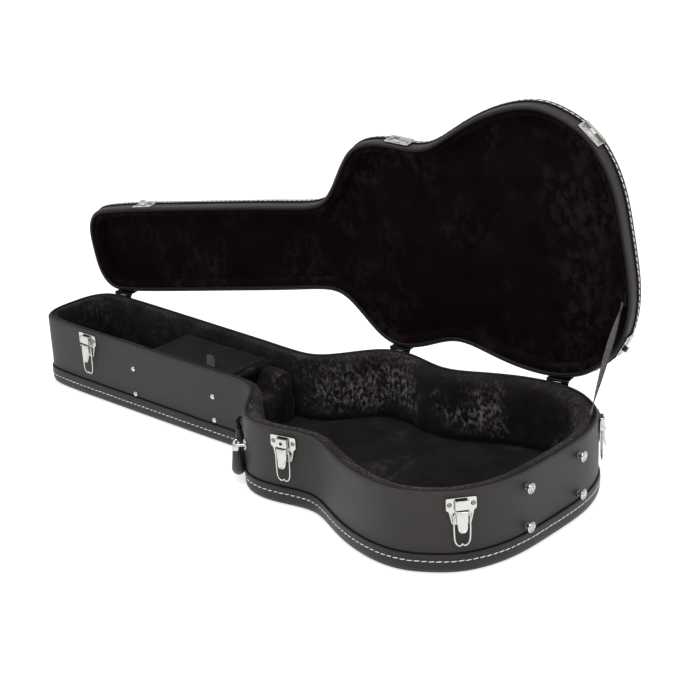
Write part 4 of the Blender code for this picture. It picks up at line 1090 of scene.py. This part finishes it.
prof = [(-W, -T * 0.5), (-W * 0.97, -T), (-W * 0.5, -T * 1.05), (0, -T), (W * 0.5, -T * 1.05), (W * 0.97, -T), (W, -T * 0.5), (W, T * 0.5), (W * 0.97, T), (W * 0.5, T * 1.05), (0, T), (-W * 0.5, T * 1.05), (-W * 0.97, T), (-W, T * 0.5)]
for i in range(steps + 1):
    f = i / steps
    c0 = a / MM + way * (f * L) + thick * (0.9 * math.sin(math.pi * f))
    tw = STRAP_TWIST * math.sin(math.pi * min(1.0, f * 0.5 / 0.62) if f < 0.62 else math.pi * (0.5 + 0.5 * (f - 0.62) / 0.38))
    wv = wide * math.cos(tw) + thick * math.sin(tw)
    tv = thick * math.cos(tw) - wide * math.sin(tw)
    for u, v in prof:
        q = c0 + wv * u + tv * v
        verts.append(tuple(q))
        uvs.append((u, f * L))
k = len(prof)
for i in range(steps):
    for j in range(k):
        faces.append((i * k + j, i * k + (j + 1) % k, (i + 1) * k + (j + 1) % k, (i + 1) * k + j))
faces.append(tuple(range(k))[::-1])
faces.append(tuple(steps * k + j for j in range(k)))
mesh = bpy.data.meshes.new("stay_strap_webbing")
mesh.from_pydata([tuple(Vector(q) * MM) for q in verts], [], faces)
layer = mesh.uv_layers.new(name="UVMap")
for loop in mesh.loops:
    layer.data[loop.index].uv = uvs[loop.vertex_index]
mesh.shade_smooth()
mesh.materials.append(M_WEB)
strap = bpy.data.objects.new("stay_strap_webbing", mesh)
bpy.context.scene.collection.objects.link(strap)
fix_normals(strap)
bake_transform(strap)
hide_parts("stay_strap")

# ---------------------------------------------------------------- stage, light, camera
floor_mesh = bpy.data.meshes.new("floor")
R = 14.0
floor_mesh.from_pydata([(-R, -R, -0.0004), (R, -R, -0.0004), (R, R, -0.0004), (-R, R, -0.0004)], [], [(0, 1, 2, 3)])
m, nt, b_ = new_mat("studio_floor")
b_.inputs["Base Color"].default_value = (0.55, 0.55, 0.55, 1)
b_.inputs["Roughness"].default_value = 0.7
b_.inputs["Emission Color"].default_value = (1.0, 1.0, 1.0, 1)
b_.inputs["Emission Strength"].default_value = 0.66
floor_mesh.materials.append(m)
floor = bpy.data.objects.new("studio_floor", floor_mesh)
bpy.context.scene.collection.objects.link(floor)

world_ = bpy.data.worlds.new("studio")
world_.use_nodes = True
bg = world_.node_tree.nodes["Background"]
wnt = world_.node_tree
wtc = wnt.nodes.new("ShaderNodeTexCoord").outputs["Generated"]
# bright backdrop behind the case, dim room on the viewer's side, soft white overhead
dot = wnt.nodes.new("ShaderNodeVectorMath")
dot.operation = "DOT_PRODUCT"
wnt.links.new(wtc, dot.inputs[0])
dot.inputs[1].default_value = (-0.62, 0.66, 0.42)
wr = wnt.nodes.new("ShaderNodeValToRGB")
el_ = wr.color_ramp.elements
el_[0].position, el_[0].color = 0.10, (0.10, 0.10, 0.102, 1)
el_[1].position, el_[1].color = 0.55, (1.0, 1.0, 1.0, 1)
mid_ = el_.new(0.34)
mid_.color = (0.24, 0.24, 0.245, 1)
half_ = wnt.nodes.new("ShaderNodeMapRange")
half_.inputs["From Min"].default_value = -1.0
half_.inputs["From Max"].default_value = 1.0
wnt.links.new(dot.outputs["Value"], half_.inputs["Value"])
wnt.links.new(half_.outputs["Result"], wr.inputs["Fac"])
wnt.links.new(wr.outputs["Color"], bg.inputs["Color"])
bg.inputs["Strength"].default_value = 0.95
bpy.context.scene.world = world_


def area(name, at, to, size, power, size_y=None):
    d = bpy.data.lights.new(name, "AREA")
    d.shape = "RECTANGLE"
    d.size, d.size_y = size, size_y or size
    d.energy = power
    o = bpy.data.objects.new(name, d)
    o.location = at
    o.rotation_euler = (Vector(to) - Vector(at)).to_track_quat("-Z", "Y").to_euler()
    bpy.context.scene.collection.objects.link(o)
    return o


area("key", (0.6, -0.9, 2.9), (0.15, 0, 0.1), 2.2, 60)
area("fill", (2.9, -0.6, 1.5), (0.3, 0, 0.1), 1.2, 26)
area("side", (0.8, -3.1, 1.5), (0.35, -0.1, 0.1), 1.2, 20)

cam = bpy.data.cameras.new("camera")
cam.lens, cam.sensor_width = 84.95, 36.0
cam.shift_x, cam.shift_y = 0.0051, 0.0023
cam_o = bpy.data.objects.new("camera", cam)
bpy.context.scene.collection.objects.link(cam_o)
az, el, roll = math.radians(43.26), math.radians(22.07), math.radians(-2.75)
back = Vector((math.sin(az) * math.cos(el), -math.cos(az) * math.cos(el), math.sin(el)))
r0 = (-back).cross(Vector((0, 0, 1))).normalized()
u0 = r0.cross(-back)
right = r0 * math.cos(roll) + u0 * math.sin(roll)
up = -r0 * math.sin(roll) + u0 * math.cos(roll)
rot = Matrix((right, up, back)).transposed()
cam_o.matrix_world = Matrix.Translation((1.8017, -1.7568, 1.1730)) @ rot.to_4x4()
bpy.context.scene.camera = cam_o

bpy.context.scene.view_settings.view_transform = "Standard"
